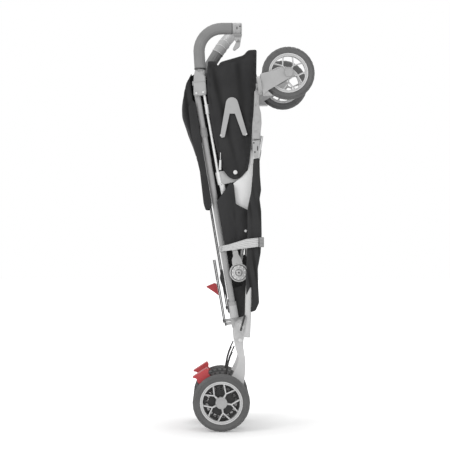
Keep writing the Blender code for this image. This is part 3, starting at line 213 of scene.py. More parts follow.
def newGroup(name, inputs, outputs):
    group = bpy.data.node_groups.new(name, "ShaderNodeTree")
    for label, value in inputs.items():
        socket = group.interface.new_socket(name=label, in_out="INPUT", socket_type="NodeSocketFloat")
        socket.default_value = value
    for label in outputs:
        group.interface.new_socket(name=label, in_out="OUTPUT", socket_type="NodeSocketFloat")
    return group, group.nodes.new("NodeGroupInput"), group.nodes.new("NodeGroupOutput")


def buildWeave():
    # crossed threads at a given spacing, as a height and a mask of worn thread tops
    group, start, end = newGroup("threadWeave", {"Threads per metre": 1500.0, "Slub": 0.25}, ("Height", "Tops"))
    coords = addNode(group, "ShaderNodeTexCoord").outputs["Object"]
    threads = addNode(group, "ShaderNodeVectorMath", coords, operation="SCALE",
                      Scale=start.outputs["Threads per metre"]).outputs[0]
    parts = addNode(group, "ShaderNodeSeparateXYZ", threads).outputs
    level = addNode(group, "ShaderNodeMath", parts["X"], parts["Y"], operation="ADD").outputs[0]
    lifts = []
    for source in (level, parts["Z"]):
        wave = addNode(group, "ShaderNodeMath", source, operation="SINE")
        lifts.append(addNode(group, "ShaderNodeMath", wave.outputs[0], operation="ABSOLUTE").outputs[0])
    weave = addNode(group, "ShaderNodeMath", *lifts, operation="MAXIMUM").outputs[0]
    slub = addNode(group, "ShaderNodeTexNoise", threads, Scale=0.02, Detail=3.0).outputs[0]
    feed(group, end.inputs["Height"], mixNode(group, start.outputs["Slub"], weave, slub, "FLOAT"))
    feed(group, end.inputs["Tops"], weave)
    return group


def buildMottle():
    # slow and fine variation of a surface, as two masks
    group, start, end = newGroup("surfaceMottle", {"Scale": 30.0, "Fine scale": 900.0}, ("Patches", "Grain"))
    coords = addNode(group, "ShaderNodeTexCoord").outputs["Object"]
    for label, scale, detail, roughness in (("Patches", "Scale", 4.0, 0.6), ("Grain", "Fine scale", 2.0, 0.5)):
        texture = addNode(group, "ShaderNodeTexNoise", coords, Scale=start.outputs[scale], Detail=detail,
                          Roughness=roughness)
        feed(group, end.inputs[label], texture.outputs[0])
    return group


weaveGroup = buildWeave()
mottleGroup = buildMottle()


def grey(value):
    return (value, value, value)


def newMaterial(name, metallic=0.0, sheen=0.0, coat=0.0, specular=0.5):
    made = bpy.data.materials.new(name)
    made.use_nodes = True
    tree = made.node_tree
    shader = tree.nodes["Principled BSDF"]
    for label, value in (("Metallic", metallic), ("Sheen Weight", sheen), ("Coat Weight", coat),
                         ("Specular IOR Level", specular)):
        shader.inputs[label].default_value = value
    return made, tree, shader


def ramp(tree, source, low, high, darker, lighter):
    # a colour between two, following a mask
    return mixNode(tree, softStep(tree, source, low, high), (*darker, 1), (*lighter, 1))


def bump(tree, shader, height, strength, distance):
    node = addNode(tree, "ShaderNodeBump", Height=height, Strength=strength, Distance=distance)
    feed(tree, shader.inputs["Normal"], node.outputs[0])


def roughen(tree, shader, source, low, high):
    node = addNode(tree, "ShaderNodeMapRange", source, 0.0, 1.0, low, high)
    feed(tree, shader.inputs["Roughness"], node.outputs[0])


# what all cloths and all moulded or painted surfaces share
clothSet = {"sheen": 0.15, "specular": 0.25, "patches": 18.0, "worn": (0.1, 0.65), "roughness": (0.8, 0.95),
            "relief": 0.0004}
mouldedSet = {"patches": 22.0, "mottled": (0.3, 0.7), "relief": 0.0003}


def clothMaterial(name, darker, lighter, threads, strength=0.5, paintedShade=None):
    values = clothSet
    made, tree, shader = newMaterial(name, sheen=values["sheen"], specular=values["specular"])
    weave = addNode(tree, "ShaderNodeGroup", threads, node_tree=weaveGroup).outputs
    patches = addNode(tree, "ShaderNodeGroup", values["patches"], node_tree=mottleGroup).outputs["Patches"]
    worn = addNode(tree, "ShaderNodeMath", weave["Tops"], patches, operation="MULTIPLY").outputs[0]
    colour = ramp(tree, worn, *values["worn"], darker, lighter)
    if paintedShade is not None:
        # painted shade: the piece's grooves and folds, kept in an attribute, are darkened as if shaded
        sunk = addNode(tree, "ShaderNodeAttribute", attribute_name="paintedShade")
        colour = mixNode(tree, sunk.outputs["Fac"], colour, (*grey(paintedShade), 1))
    feed(tree, shader.inputs["Base Color"], colour)
    roughen(tree, shader, patches, *values["roughness"])
    bump(tree, shader, weave["Height"], strength, values["relief"])
    return made


def mouldedMaterial(name, darker, lighter, low, high, coat=0.0, metallic=0.0, fine=1100.0, strength=0.12,
                    specular=0.5):
    values = mouldedSet
    made, tree, shader = newMaterial(name, metallic=metallic, coat=coat, specular=specular)
    mottle = addNode(tree, "ShaderNodeGroup", values["patches"], fine, node_tree=mottleGroup).outputs
    feed(tree, shader.inputs["Base Color"], ramp(tree, mottle["Patches"], *values["mottled"], darker, lighter))
    roughen(tree, shader, mottle["Patches"], low, high)
    bump(tree, shader, mottle["Grain"], strength, values["relief"])
    return made


def nearLine(tree, place, along, radius):
    # a mask of what lies within a distance of a line, 1 inside and 0 outside
    coords = addNode(tree, "ShaderNodeTexCoord").outputs["Object"]
    offset = addNode(tree, "ShaderNodeVectorMath", coords, place, operation="SUBTRACT").outputs[0]
    turned = addNode(tree, "ShaderNodeVectorMath", offset, along, operation="CROSS_PRODUCT").outputs[0]
    length = addNode(tree, "ShaderNodeVectorMath", turned, operation="LENGTH").outputs["Value"]
    return softStep(tree, length, radius + 0.0002, radius - 0.0002)


def tintWhere(made, mask, colour):
    # repaints a material's base colour where a mask is 1
    tree = made.node_tree
    base = tree.nodes["Principled BSDF"].inputs["Base Color"]
    feed(tree, base, mixNode(tree, mask, base.links[0].from_socket, (*colour, 1)))


tyreSet = {"fine": 700.0, "strength": 0.3, "specular": 0.3}
tubeSet = {"coat": 0.15, "fine": 300.0, "strength": 0.05}

paint = {
    "rubber": mouldedMaterial("tyreRubber", grey(0.115), grey(0.150), 0.62, 0.8, **tyreSet),
    # the inner tyres' rubber is darker as painted shade between the paired wheels
    "dark_rubber": mouldedMaterial("shadedInnerTyreRubber", grey(0.050), grey(0.070), 0.62, 0.8, **tyreSet),
    "silver_plastic": mouldedMaterial("silverMoulding", grey(0.40), grey(0.46), 0.36, 0.48),
    "pale_rim": mouldedMaterial("rimMoulding", grey(0.47), grey(0.54), 0.34, 0.45),
    "pale_plastic": mouldedMaterial("paleMoulding", grey(0.72), grey(0.80), 0.36, 0.46),
    "pale_leg": mouldedMaterial("legMoulding", grey(0.56), grey(0.64), 0.34, 0.45),
    "grey_plastic": mouldedMaterial("greyMoulding", grey(0.22), grey(0.28), 0.42, 0.55),
    "dark_plastic": mouldedMaterial("blackMoulding", grey(0.030), grey(0.045), 0.45, 0.6),
    "grey_tube": mouldedMaterial("greyPaintedTube", grey(0.27), grey(0.32), 0.30, 0.42, **tubeSet),
    "dark_steel": mouldedMaterial("darkSteel", grey(0.085), grey(0.115), 0.42, 0.55, metallic=0.2, fine=900.0,
                                  strength=0.03),
    "silver_tube": mouldedMaterial("brushedTube", grey(0.50), grey(0.60), 0.28, 0.4, metallic=0.6, fine=500.0,
                                   strength=0.06),
    "foam": mouldedMaterial("gripFoam", grey(0.235), grey(0.275), 0.85, 0.95, fine=1600.0, strength=0.55,
                            specular=0.2),
    # the black cloth's grooves and folds are darkened to this grey as painted shade
    "black_cloth": clothMaterial("blackPolyester", (0.024, 0.024, 0.025), (0.042, 0.042, 0.043), 2600.0,
                                 paintedShade=0.009),
    "grey_panel": clothMaterial("greyLining", grey(0.84), grey(0.90), 2600.0, strength=0.3),
    "red_plastic": mouldedMaterial("redMoulding", (0.50, 0.050, 0.058), (0.58, 0.070, 0.078), 0.3, 0.42),
    # the webbing's rib valleys are darkened as painted shade
    "webbing": clothMaterial("greyWebbing", grey(0.56), grey(0.74), 1700.0, strength=0.8, paintedShade=0.34),
    "thread": clothMaterial("paleThread", grey(0.10), grey(0.16), 5200.0, strength=0.4),
    "black_cable": mouldedMaterial("cableSheath", grey(0.018), grey(0.03), 0.4, 0.55),
}


# the thin tube's line in v and u, and the soft edge in u where the push tube's foot fitting ends
thinTubeSet = {"foot": (0.0158, 0.1980), "bend": (0.0060, 0.4076), "top": (0.0044, 0.6290), "depth": 0.0880,
               "radius": 0.0038, "grey": 0.86}
fittingSet = {"end": (0.0565, 0.0555), "grey": 0.52}


def thinTubeMaterial():
    # the thin tube is paler than the hub, stem and bracket welded to it
    values = thinTubeSet
    made = mouldedMaterial("thinTube", grey(0.50), grey(0.58), 0.30, 0.42, metallic=0.15, fine=500.0, strength=0.05)
    tree = made.node_tree
    masks = []
    for side in (rightSide, leftSide):
        foot, bend, top = (tubePoint(*values[end], side * values["depth"]) for end in ("foot", "bend", "top"))
        masks += [nearLine(tree, bend, (top - bend).normalized(), values["radius"]),
                  nearLine(tree, foot, (bend - foot).normalized(), values["radius"])]
    total = masks[0]
    for mask in masks[1:]:
        total = addNode(tree, "ShaderNodeMath", total, mask, operation="MAXIMUM").outputs[0]
    tintWhere(made, total, grey(values["grey"]))
    return made


def pushTubeMaterial():
    # painted tube with a paler moulded fitting at its foot
    made = mouldedMaterial("pushTube", grey(0.34), grey(0.39), 0.30, 0.42, **tubeSet)
    tree = made.node_tree
    coords = addNode(tree, "ShaderNodeTexCoord").outputs["Object"]
    offset = addNode(tree, "ShaderNodeVectorMath", coords, pivot, operation="SUBTRACT").outputs[0]
    height = addNode(tree, "ShaderNodeVectorMath", offset, up, operation="DOT_PRODUCT").outputs["Value"]
    tintWhere(made, softStep(tree, height, *fittingSet["end"]), grey(fittingSet["grey"]))
    return made


paint["thin_tube"] = thinTubeMaterial()
paint["push_tube"] = pushTubeMaterial()
# CAD nodes with a finish of their own, by a word in their names; the rest wear their slot's. The inner tyres' darker
# rubber is painted shade between the paired wheels
ownPaint = {"backrest_tube": "thin_tube", "push_tube": "push_tube", "_rim": "pale_rim", "cross_link": "dark_steel",
            "spreader": "dark_steel", "caster_bracket": "silver_plastic", "inner_tyre": "dark_rubber",
            "rear_leg": "pale_leg", "front_tube": "pale_leg"}

for row in frame["record"]["subparts"]:
    obj = nodes[row["node"]]
    finishName = row["material_slot"]
    for word, own in ownPaint.items():
        if word in row["node"]:
            finishName = own
    if not obj.material_slots:
        obj.data.materials.append(paint[finishName])
    for holder in obj.material_slots:
        holder.material = paint[finishName]
print("materials made")


# soft goods

def edgeDistance(place, outline):
    # how far a place lies inside an outline of the side view
    point = Vector((place.x, place.z))
    best = 1.0
    for a, b in zip(outline, outline[1:] + outline[:1]):
        line = b - a
        t = max(0.0, min(1.0, (point - a).dot(line) / line.length_squared))
        best = min(best, (point - a - line * t).length)
    return best


def roundedOutline(points, radius, steps=4):
    # an outline with its corners rounded, as far as its sides leave room
    line = []
    for i, corner in enumerate(points):
        here = Vector(corner)
        back = Vector(points[i - 1]) - here
        forth = Vector(points[(i + 1) % len(points)]) - here
        room = min(radius, 0.45 * back.length, 0.45 * forth.length)
        start, end = here + back.normalized() * room, here + forth.normalized() * room
        for k in range(steps + 1):
            t = k / steps
            line.append((1 - t) ** 2 * start + 2 * t * (1 - t) * here + t * t * end)
    return line


def outlineFace(outline, y):
    shape = bmesh.new()
    shape.faces.new([shape.verts.new((p.x, y, p.y)) for p in outline])
    return shape


def sideOutline(values):
    return roundedOutline([(x - sideShift, z) for x, z in values["outline"]], values["corner"])


def cutEvenly(shape, normal, low, high, spacing):
    # cuts every face by planes at even spacing along a direction
    count = max(1, round((high - low) / spacing))
    for i in range(1, count):
        place = Vector(normal) * (low + (high - low) * i / count)
        parts = shape.verts[:] + shape.edges[:] + shape.faces[:]
        bmesh.ops.bisect_plane(shape, geom=parts, plane_co=place, plane_no=normal, dist=1e-6)


def cutGrid(shape, spacing, across=None):
    for normal, gap in ((ahead, spacing), (up, spacing), (Vector((0, 1, 0)), across)):
        if gap:
            reach = [v.co.dot(normal) for v in shape.verts]
            cutEvenly(shape, normal, min(reach), max(reach), gap)


def ridge(value, centre, width):
    return math.exp(-((value - centre) / width) ** 2)


def ripple(values, across, along, side):
    # a sheet's unevenness, from its height, its rate both ways and its seed
    height, rateAcross, rateAlong, seed = values["ripple"]
    return height * noise.noise(Vector((across * rateAcross, along * rateAlong, seed * side)))


hoodPanelSet = {
    "outline": [(-0.1040, 0.9700), (-0.0842, 0.9678), (-0.0784, 0.9560), (-0.0715, 0.9670), (-0.0103, 0.9849),
                (0.0007, 0.9981), (0.0240, 1.0000), (0.0230, 0.9322), (0.0185, 0.8716), (0.0137, 0.8136),
                (0.0095, 0.7530), (0.0060, 0.7150), (0.0040, 0.6980), (-0.0042, 0.6795), (-0.0173, 0.6640),
                (-0.0330, 0.6582), (-0.0490, 0.6640), (-0.0605, 0.6780), (-0.0710, 0.6980), (-0.0892, 0.7727),
                (-0.1000, 0.8330), (-0.1060, 0.8937), (-0.1058, 0.9500)],
    "corner": 0.006, "at": 0.0946, "spacing": 0.0042, "thick": 0.0022, "calm": 0.020, "ripple": (0.0007, 55, 18, 1),
    "hem": 0.0055, "hemRise": 0.0005, "seamWidth": 0.0022,
    # folds as (v at the foot, v at the top, width, height), and the u of that foot and top
    "folds": [(0.050, 0.012, 0.0065, 0.0026), (0.060, 0.034, 0.0080, -0.0022), (0.071, 0.072, 0.0100, 0.0018),
              (0.082, 0.108, 0.0090, -0.0016), (0.092, 0.140, 0.0080, 0.0014)],
    # folds are shallow at their foot, "foldFade" as (least, rest, rate); fold valleys as deep as "grooveDepth" get
    # full painted shade
    "foldSpan": (0.385, 0.700), "foldFade": (0.35, 0.65, 1.3), "grooveDepth": 0.0022,
    # the stitches inside the hem as (distance from it, width, strength of the painted shade along them)
    "stitches": (0.0010, 0.0012, 0.5),
}


def sheetObject(name, side, values, outline, lift):
    # cloth cut out in the side view, lifted into its folds and given a thickness;
    # lift gives each place its height and how much painted shade it gets for lying deep in its folds, from 0 to 1
    shape = outlineFace(outline, side * values["at"])
    cutGrid(shape, values["spacing"])
    paintedShade = shape.verts.layers.float.new("paintedShade") if "grooveDepth" in values else None
    for vert in shape.verts:
        height, sunk = lift(values, vert.co, edgeDistance(vert.co, outline), side)
        if paintedShade is not None:
            vert[paintedShade] = sunk
        vert.co.y += side * height
    return wallObject(name, shape, side, values["thick"])


def hoodPanelLift(values, co, inside, side):
    v, u = tubeFrame(co)
    foot, top = values["foldSpan"]
    t = (u - foot) / (top - foot)
    least, rest, rate = values["foldFade"]
    fade = least + rest * min(1, max(0, t * rate))
    height = 0.0
    for low, high, width, lift in values["folds"]:
        height += lift * ridge(v, low + (high - low) * t, width) * fade
    height += ripple(values, v, u, side)
    height *= min(1.0, inside / values["calm"])
    # a row of stitches is sunk along the inner edge of the hem; it and the fold valleys get painted shade
    hem = values["hem"]
    gap, width, dark = values["stitches"]
    sunk = min(0.9, max(0.0, -height / values["grooveDepth"]) * 0.8 + dark * ridge(inside, hem + gap, width))
    if inside < hem:
        height += values["hemRise"]
    elif inside < hem + values["seamWidth"]:
        height -= values["hemRise"]
    return height, sunk


def hoodPanel(side):
    name = sideNames[side] + "_hood_panel"
    outline = sideOutline(hoodPanelSet)
    obj = sheetObject(name, side, hoodPanelSet, outline, hoodPanelLift)
    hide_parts(name)
    obj.name = name + "_cloth"
    dress(obj, paint["black_cloth"], sideNames[side] + "_push")


sideFlapSet = {
    "outline": [(0.0070, 0.3110), (0.0205, 0.3150), (0.0300, 0.3360), (0.0278, 0.3750), (0.0262, 0.4250),
                (0.0335, 0.4650), (0.0365, 0.5129), (0.0352, 0.5750), (0.0310, 0.6080), (0.0350, 0.6300),
                (0.0318, 0.6700), (0.0308, 0.7130), (0.0140, 0.7150), (0.0120, 0.6700), (0.0080, 0.6220),
                (-0.0006, 0.5820), (0.0000, 0.5300), (-0.0026, 0.4500), (-0.0050, 0.3950), (-0.0042, 0.3480),
                (0.0086, 0.3790), (0.0100, 0.3340)],
    "corner": 0.004, "low": 0.1012, "high": 0.1242, "spacing": 0.0038, "across": 0.004,
    # the section is rounded within a distance of the outline, down to a share of its depth
    "round": 0.009, "flat": 0.45,
    # the flap's back edge, behind this x, passes outside the recline hub at this depth
    "hubX": 0.0060, "hubY": 0.1050,
    # wrinkles as (strength, rate along v, u and y, seed), grooves, streaks of painted shade, as (strength, rate along
    # v and u, seed)
    "wrinkles": (0.0016, 60, 14, 60, 3.1), "grooves": (0.8, 110, 8, 6.0),
}


def crumple(shape, middle, wrinkles, side):
    # soft wrinkles that run up the cloth and move it to and from its middle
    strength, rateV, rateU, rateY, seed = wrinkles
    for vert in shape.verts:
        v, u = tubeFrame(vert.co)
        place = Vector((v * rateV, u * rateU, vert.co.y * rateY)) + Vector((seed * side, 0, 0))
        out = vert.co - middle(vert.co)
        if out.length > 1e-6:
            vert.co += out.normalized() * strength * noise.fractal(place, 0.8, 2.0, 3)


def sideFlap(side):
    name = sideNames[side] + "_side_flap"
    values = sideFlapSet
    low, high = values["low"], values["high"]
    outline = sideOutline(values)
    shape = thicken(outlineFace(outline, side * low), (0, side * (high - low), 0))
    cutGrid(shape, values["spacing"], values["across"])
    centreY = side * (low + high) / 2
    halfY = (high - low) / 2
    for vert in shape.verts:
        # the section is rounded, as cloth drawn round a tube
        depth = abs(vert.co.y - centreY) / halfY
        roundness = min(1.0, edgeDistance(vert.co, outline) / values["round"])
        lift = math.sqrt(max(0.0, 1 - (1 - roundness) ** 2))
        if depth > 0.5:
            vert.co.y = centreY + (vert.co.y - centreY) * (values["flat"] + (1 - values["flat"]) * lift)
        if vert.co.x < values["hubX"]:
            vert.co.y = side * max(abs(vert.co.y), values["hubY"])
    crumple(shape, lambda co: Vector((co.x, centreY, co.z)), values["wrinkles"], side)
    # streaks of painted shade, standing for the shade of folds, run up the flap
    paintedShade = shape.verts.layers.float.new("paintedShade")
    strength, rateV, rateU, seed = values["grooves"]
    for vert in shape.verts:
        v, u = tubeFrame(vert.co)
        vert[paintedShade] = strength * max(0.0, noise.noise(Vector((v * rateV, u * rateU, seed * side))) * 2.2 - 0.15)
    obj = soften(makeObject(name, shape))
    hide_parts(name)
    obj.name = name + "_cloth"
    dress(obj, paint["black_cloth"], sideNames[side] + "_front", smooth=60)


flapWingSet = {
    "outline": [(-0.0597, 0.4860), (-0.0380, 0.4880), (-0.0060, 0.4990), (0.0120, 0.5060), (0.0120, 0.5790),
                (0.0008, 0.5782), (-0.0306, 0.5939), (-0.0359, 0.6462), (-0.0463, 0.6515), (-0.0568, 0.6332),
                (-0.0672, 0.6201), (-0.0803, 0.6005)],
    "corner": 0.004, "at": 0.1023, "room": 0.0027, "spacing": 0.0038, "thick": 0.0018, "calm": 0.010, "rise": 0.0012,
    "ripple": (0.0011, 70, 34, 7.0),
    # pleats as (x at the foot, x at the top, width, height), and the z of that foot and top; pleat valleys as deep as
    # "grooveDepth" get full painted shade
    "pleats": [(-0.046, -0.060, 0.0045, 0.0016), (-0.030, -0.040, 0.0060, -0.0016), (-0.014, -0.022, 0.0060, 0.0016),
               (0.000, -0.008, 0.0060, -0.0014)],
    "pleatSpan": (0.49, 0.65), "grooveDepth": 0.0012,
}


def flapWingLift(values, co, inside, side):
    foot, top = values["pleatSpan"]
    t = (co.z - foot) / (top - foot)
    height = values["rise"]
    for low, high, width, lift in values["pleats"]:
        height += lift * ridge(co.x, low + (high - low) * t, width)
    height += ripple(values, co.x, co.z, side)
    height *= min(1.0, inside / values["calm"])
    # painted shade in the pleats' valleys
    sunk = min(0.95, max(0.0, -height / values["grooveDepth"]))
    return max(0.0, min(values["room"], height)), sunk


def flapWing(side):
    # the seat's side cloth between the push tube and the front tube, drawn into pleats
    outline = sideOutline(flapWingSet)
    obj = sheetObject(sideNames[side] + "_flap_wing", side, flapWingSet, outline, flapWingLift)
    dress(obj, paint["black_cloth"], sideNames[side] + "_front", smooth=50)


# what all bunched cloths share: rates of the noises along v, u and y, and the strengths of the dents and of the
# painted shade along the grooves
bunchSet = {
    "grooveRate": (95, 7), "paintedShade": (0.75, 2.2, 0.1), "driftRate": 9, "drift": 0.12, "wrinkleRate": (40, 16, 70),
    "calm": 0.02, "end": 0.004, "dentRate": (45, 11), "dentGroove": 0.35,
}


def bunch(name, outline, values, replacing=True):
    # cloth bunched between the side frames, its folds running up the stroller
    half, seed, shared = values["half"], values["seed"], bunchSet
    paintedShade, sharper, clear = shared["paintedShade"]
    rateV, rateU, rateY = shared["wrinkleRate"]
    outline = roundedOutline(fromTube(outline), values["corner"], 3)
    shape = thicken(outlineFace(outline, -half), (0, 2 * half, 0))
    cutGrid(shape, values["spacing"], values["across"])
    sunk = shape.verts.layers.float.new("paintedShade")
    for vert in shape.verts:
        v, u = tubeFrame(vert.co)
        t = (vert.co.y + half) / (2 * half)
        # streaks along the folds get painted shade
        line = sharper * noise.noise(Vector((v * shared["grooveRate"][0], u * shared["grooveRate"][1], seed + 2.0)))
        vert[sunk] = paintedShade * max(0.0, line - clear)
        # folds follow one another across the width and draw the cloth in to a middle line, as do its rounded ends
        drift = shared["drift"] * noise.noise(Vector((0.0, u * shared["driftRate"], seed)))
        wave = 0.5 * (1 - math.cos(2 * math.pi * (values["waves"] * t + drift * math.sin(math.pi * t))))
        edge = min(t, 1 - t) * 2 * half
        rounding = 1 - math.sqrt(max(0.0, 1 - (1 - min(1.0, edge / values["round"])) ** 2))
        away = v - values["middle"]
        pinch = values["depth"] * wave + values["edge"] * rounding
        wrinkle = noise.fractal(Vector((v * rateV, u * rateU, vert.co.y * rateY + seed)), 0.8, 2.0, 3)
        vert.co -= ahead * away * pinch
        vert.co += ahead * values["wrinkle"] * wrinkle * math.copysign(min(1.0, abs(away) / shared["calm"]), away)
        if edge < shared["end"]:
            # the two ends are dented
            place = Vector((v * shared["dentRate"][0], u * shared["dentRate"][1], seed + 4))
            dent = values["dent"] * (0.5 + 0.5 * noise.noise(place) + shared["dentGroove"] * max(0.0, line))
            calm = min(1.0, edgeDistance(vert.co, outline) / shared["calm"])
            vert.co.y -= math.copysign(dent * calm, vert.co.y)
    obj = soften(makeObject(name + "_folds", shape))
    if replacing:
        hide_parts(name)
    dress(obj, paint["black_cloth"], "right_push", smooth=75)


# the four bunched cloths, in v and u but for the back's outer edge, which is in x and z
backClothSet = {
    "outline": [(-0.1419, 0.9406), (-0.1624, 0.9122), (-0.1717, 0.8711), (-0.1732, 0.8499), (-0.1725, 0.8271),
                (-0.1563, 0.7783), (-0.1441, 0.7477), (-0.1340, 0.7172), (-0.1236, 0.6934), (-0.1218, 0.6589),
                (-0.1154, 0.5952), (-0.1060, 0.5830)],
    "inner": [(-0.0370, 0.3200), (-0.0370, 0.5297), (-0.0225, 0.5357), (-0.0225, 0.6000), (-0.0262, 0.6080),
              (-0.0250, 0.6650)],
    "half": 0.082, "spacing": 0.0075, "across": 0.0060, "corner": 0.006, "middle": -0.037, "waves": 4, "depth": 0.22,
    "edge": 0.25, "round": 0.012, "wrinkle": 0.0022, "dent": 0.0045, "seed": 1.3,
}
hoodClothSet = {
    "outline": [(0.0235, 0.4640), (0.0245, 0.6300), (0.0330, 0.6560), (0.0500, 0.6600), (0.0700, 0.6720),
                (0.1250, 0.6880), (0.1500, 0.7020), (0.1520, 0.6400), (0.1330, 0.5830), (0.1080, 0.4900),
                (0.0960, 0.4640)],
    "half": 0.0882, "spacing": 0.0085, "across": 0.0060, "corner": 0.006, "middle": 0.080, "waves": 4, "depth": 0.16,
    "edge": 0.10, "round": 0.010, "wrinkle": 0.0025, "dent": 0.0035, "seed": 5.7,
}
seatClothSet = {
    "outline": [(-0.0165, 0.1550), (-0.0165, 0.4560), (0.0850, 0.4560), (0.1140, 0.4362), (0.0792, 0.3360),
                (0.0385, 0.2190), (0.0290, 0.1860), (0.0480, 0.1780), (0.0470, 0.1500)],
    "half": 0.0715, "spacing": 0.0080, "across": 0.0055, "corner": 0.006, "middle": 0.030, "waves": 4, "depth": 0.18,
    "edge": 0.08, "round": 0.009, "wrinkle": 0.0022, "dent": 0.0050, "seed": 9.1,
}
basketSet = {
    "outline": [(-0.0100, 0.2080), (0.0150, 0.2080), (0.0200, 0.1720), (0.0440, 0.1640), (0.0480, 0.1350),
                (0.0440, 0.1000), (0.0236, 0.0640), (0.0115, 0.0225), (-0.0040, 0.0215), (-0.0100, 0.0500),
                (-0.0100, 0.1200)],
    "half": 0.0614, "spacing": 0.0065, "across": 0.0060, "corner": 0.003, "middle": 0.012, "waves": 4, "depth": 0.20,
    "edge": 0.20, "round": 0.008, "wrinkle": 0.0020, "dent": 0.0030, "seed": 12.9,
}


def makeSoftGoods():
    for side in (rightSide, leftSide):
        hoodPanel(side)
        sideFlap(side)
        flapWing(side)
    outer = toTube([(x - sideShift, z) for x, z in backClothSet["outline"]])
    bunch("back_cloth", outer + backClothSet["inner"], backClothSet)
    bunch("hood_cloth", hoodClothSet["outline"], hoodClothSet)
    bunch("seat_cloth", seatClothSet["outline"], seatClothSet)
    bunch("basket_cloth", basketSet["outline"], basketSet)
    print("cloth made")


makeSoftGoods()


# small shapes used by the details

def roundEdges(shape, edges, size):
    bmesh.ops.bevel(shape, geom=edges, offset=size, offset_type="OFFSET", segments=2, profile=0.5, affect="EDGES",
                    material=-1)


def roundRims(shape, size, sharper=1.0):
    # rounds the edges between faces that turn by more than an angle
    rims = [edge for edge in shape.edges if len(edge.link_faces) == 2 and edge.calc_face_angle() > sharper]
    roundEdges(shape, rims, size)
    return shape


def discShape(x, z, low, high, radius, segments=32):
    # a round button across the stroller, between two depths
    shape = bmesh.new()
    bmesh.ops.create_cone(shape, cap_ends=True, segments=segments, radius1=radius, radius2=radius,
                          depth=abs(high - low))
    bmesh.ops.rotate(shape, cent=(0, 0, 0), matrix=Matrix.Rotation(math.radians(90), 3, "X"), verts=shape.verts)
    bmesh.ops.translate(shape, vec=(x, (low + high) / 2, z), verts=shape.verts)
    return roundRims(shape, 0.0005)


def turnedShape(x, z, section, closed, steps):
    # a section, given as (radius, depth), turned about a line across the stroller
    shape = bmesh.new()
    verts = [shape.verts.new((radius, y, 0)) for radius, y in section]
    edges = [shape.edges.new((verts[i - 1], verts[i])) for i in range(0 if closed else 1, len(verts))]
    bmesh.ops.spin(shape, geom=verts + edges, cent=(0, 0, 0), axis=(0, 1, 0), angle=2 * math.pi, steps=steps,
                   use_merge=True, use_duplicate=False)
    bmesh.ops.remove_doubles(shape, verts=shape.verts, dist=1e-6)
    bmesh.ops.translate(shape, vec=(x, 0, z), verts=shape.verts)
    return outwards(shape)


def ringShape(x, z, section, steps=48):
    # a ring whose section is closed
    return turnedShape(x, z, section, True, steps)


def latheShape(x, z, side, profile, steps=32):
    # a solid whose profile runs from axis to axis
    return turnedShape(x, z, [(radius, side * depth) for radius, depth in profile], False, steps)


def bandShape(x, z, side, inner, outer, low, high, slant=0.0):
    # a flat ring between two depths
    return ringShape(x, z, [(inner, side * low), (outer, side * low), (outer - slant, side * high),
                            (inner + slant, side * high)])


def roundSection(radius, y, size, count=6):
    # the section of a ring of round wire
    return [around(radius, y, size, 2 * math.pi * i / count) for i in range(count)]


def plateShape(points, low, high, rounding=0.001, bevel=0.0004):
    # a flat plate of the side view, between two depths
    shape = thicken(outlineFace(roundedOutline(points, rounding, 3), low), (0, high - low, 0))
    return roundRims(shape, bevel, 1.2)


def boxPoints(x, z, halfX, halfZ):
    return [(x - halfX, z - halfZ), (x + halfX, z - halfZ), (x + halfX, z + halfZ), (x - halfX, z + halfZ)]


def rodShape(a, b, radius, end=None, segments=24, bevel=0.0005):
    # a round bar between two places
    a, b = Vector(a), Vector(b)
    shape = bmesh.new()
    bmesh.ops.create_cone(shape, cap_ends=True, segments=segments, radius1=radius, radius2=end or radius,
                          depth=(b - a).length)
    turn = (b - a).to_track_quat("Z", "Y").to_matrix()
    bmesh.ops.rotate(shape, cent=(0, 0, 0), matrix=turn, verts=shape.verts)
    bmesh.ops.translate(shape, vec=(a + b) / 2, verts=shape.verts)
    return roundRims(shape, bevel)


def tubeObject(name, points, radius, sides=3):
    # a round bar or wire along a line
    curve = bpy.data.curves.new(name, "CURVE")
    curve.dimensions = "3D"
    curve.bevel_depth = radius
    curve.bevel_resolution = sides
    curve.use_fill_caps = True
    line = curve.splines.new("POLY")
    line.points.add(len(points) - 1)
    for spot, point in zip(line.points, points):
        spot.co = (*point, 1)
    obj = bpy.data.objects.new(name, curve)
    bpy.context.scene.collection.objects.link(obj)
    bpy.context.view_layer.update()
    graph = bpy.context.evaluated_depsgraph_get()
    mesh = bpy.data.meshes.new_from_object(obj.evaluated_get(graph))
    bpy.data.objects.remove(obj, do_unlink=True)
    tube = bpy.data.objects.new(name, mesh)
    bpy.context.scene.collection.objects.link(tube)
    return tube


def gather(name, shapes, finishName, body, smooth=35):
    # joins several small shapes into one piece
    whole = bmesh.new()
    for shape in shapes:
        mesh = bpy.data.meshes.new("part")
        shape.to_mesh(mesh)
        shape.free()
        whole.from_mesh(mesh)
        bpy.data.meshes.remove(mesh)
    obj = makeObject(name, whole)
    return dress(obj, paint[finishName], body, smooth)


def detail(side, name, shapes, finishName, part="push", smooth=35):
    # the same, for a detail that both sides have
    return gather(sideNames[side] + "_" + name, shapes, finishName, bodyOf(side, part), smooth)


def stitchShape(points, spacing, length, width, depth):
    # a row of stitches along a line, each a small raised bar
    whole = bmesh.new()
    for a, b in zip(points, points[1:]):
        a, b = Vector(a), Vector(b)
        along = (b - a).normalized()
        count = max(1, int((b - a).length / spacing))
        across = along.cross(Vector((0, 1, 0))).normalized()
        for i in range(count):
            centre = a + (b - a) * (i + 0.5) / count
            made = bmesh.ops.create_cube(whole, size=1.0)
            for vert in made["verts"]:
                x, y, z = vert.co
                vert.co = centre + along * x * length + across * z * width + Vector((0, y * depth, 0))
    return whole


# cloth that hides the links and lines the hood

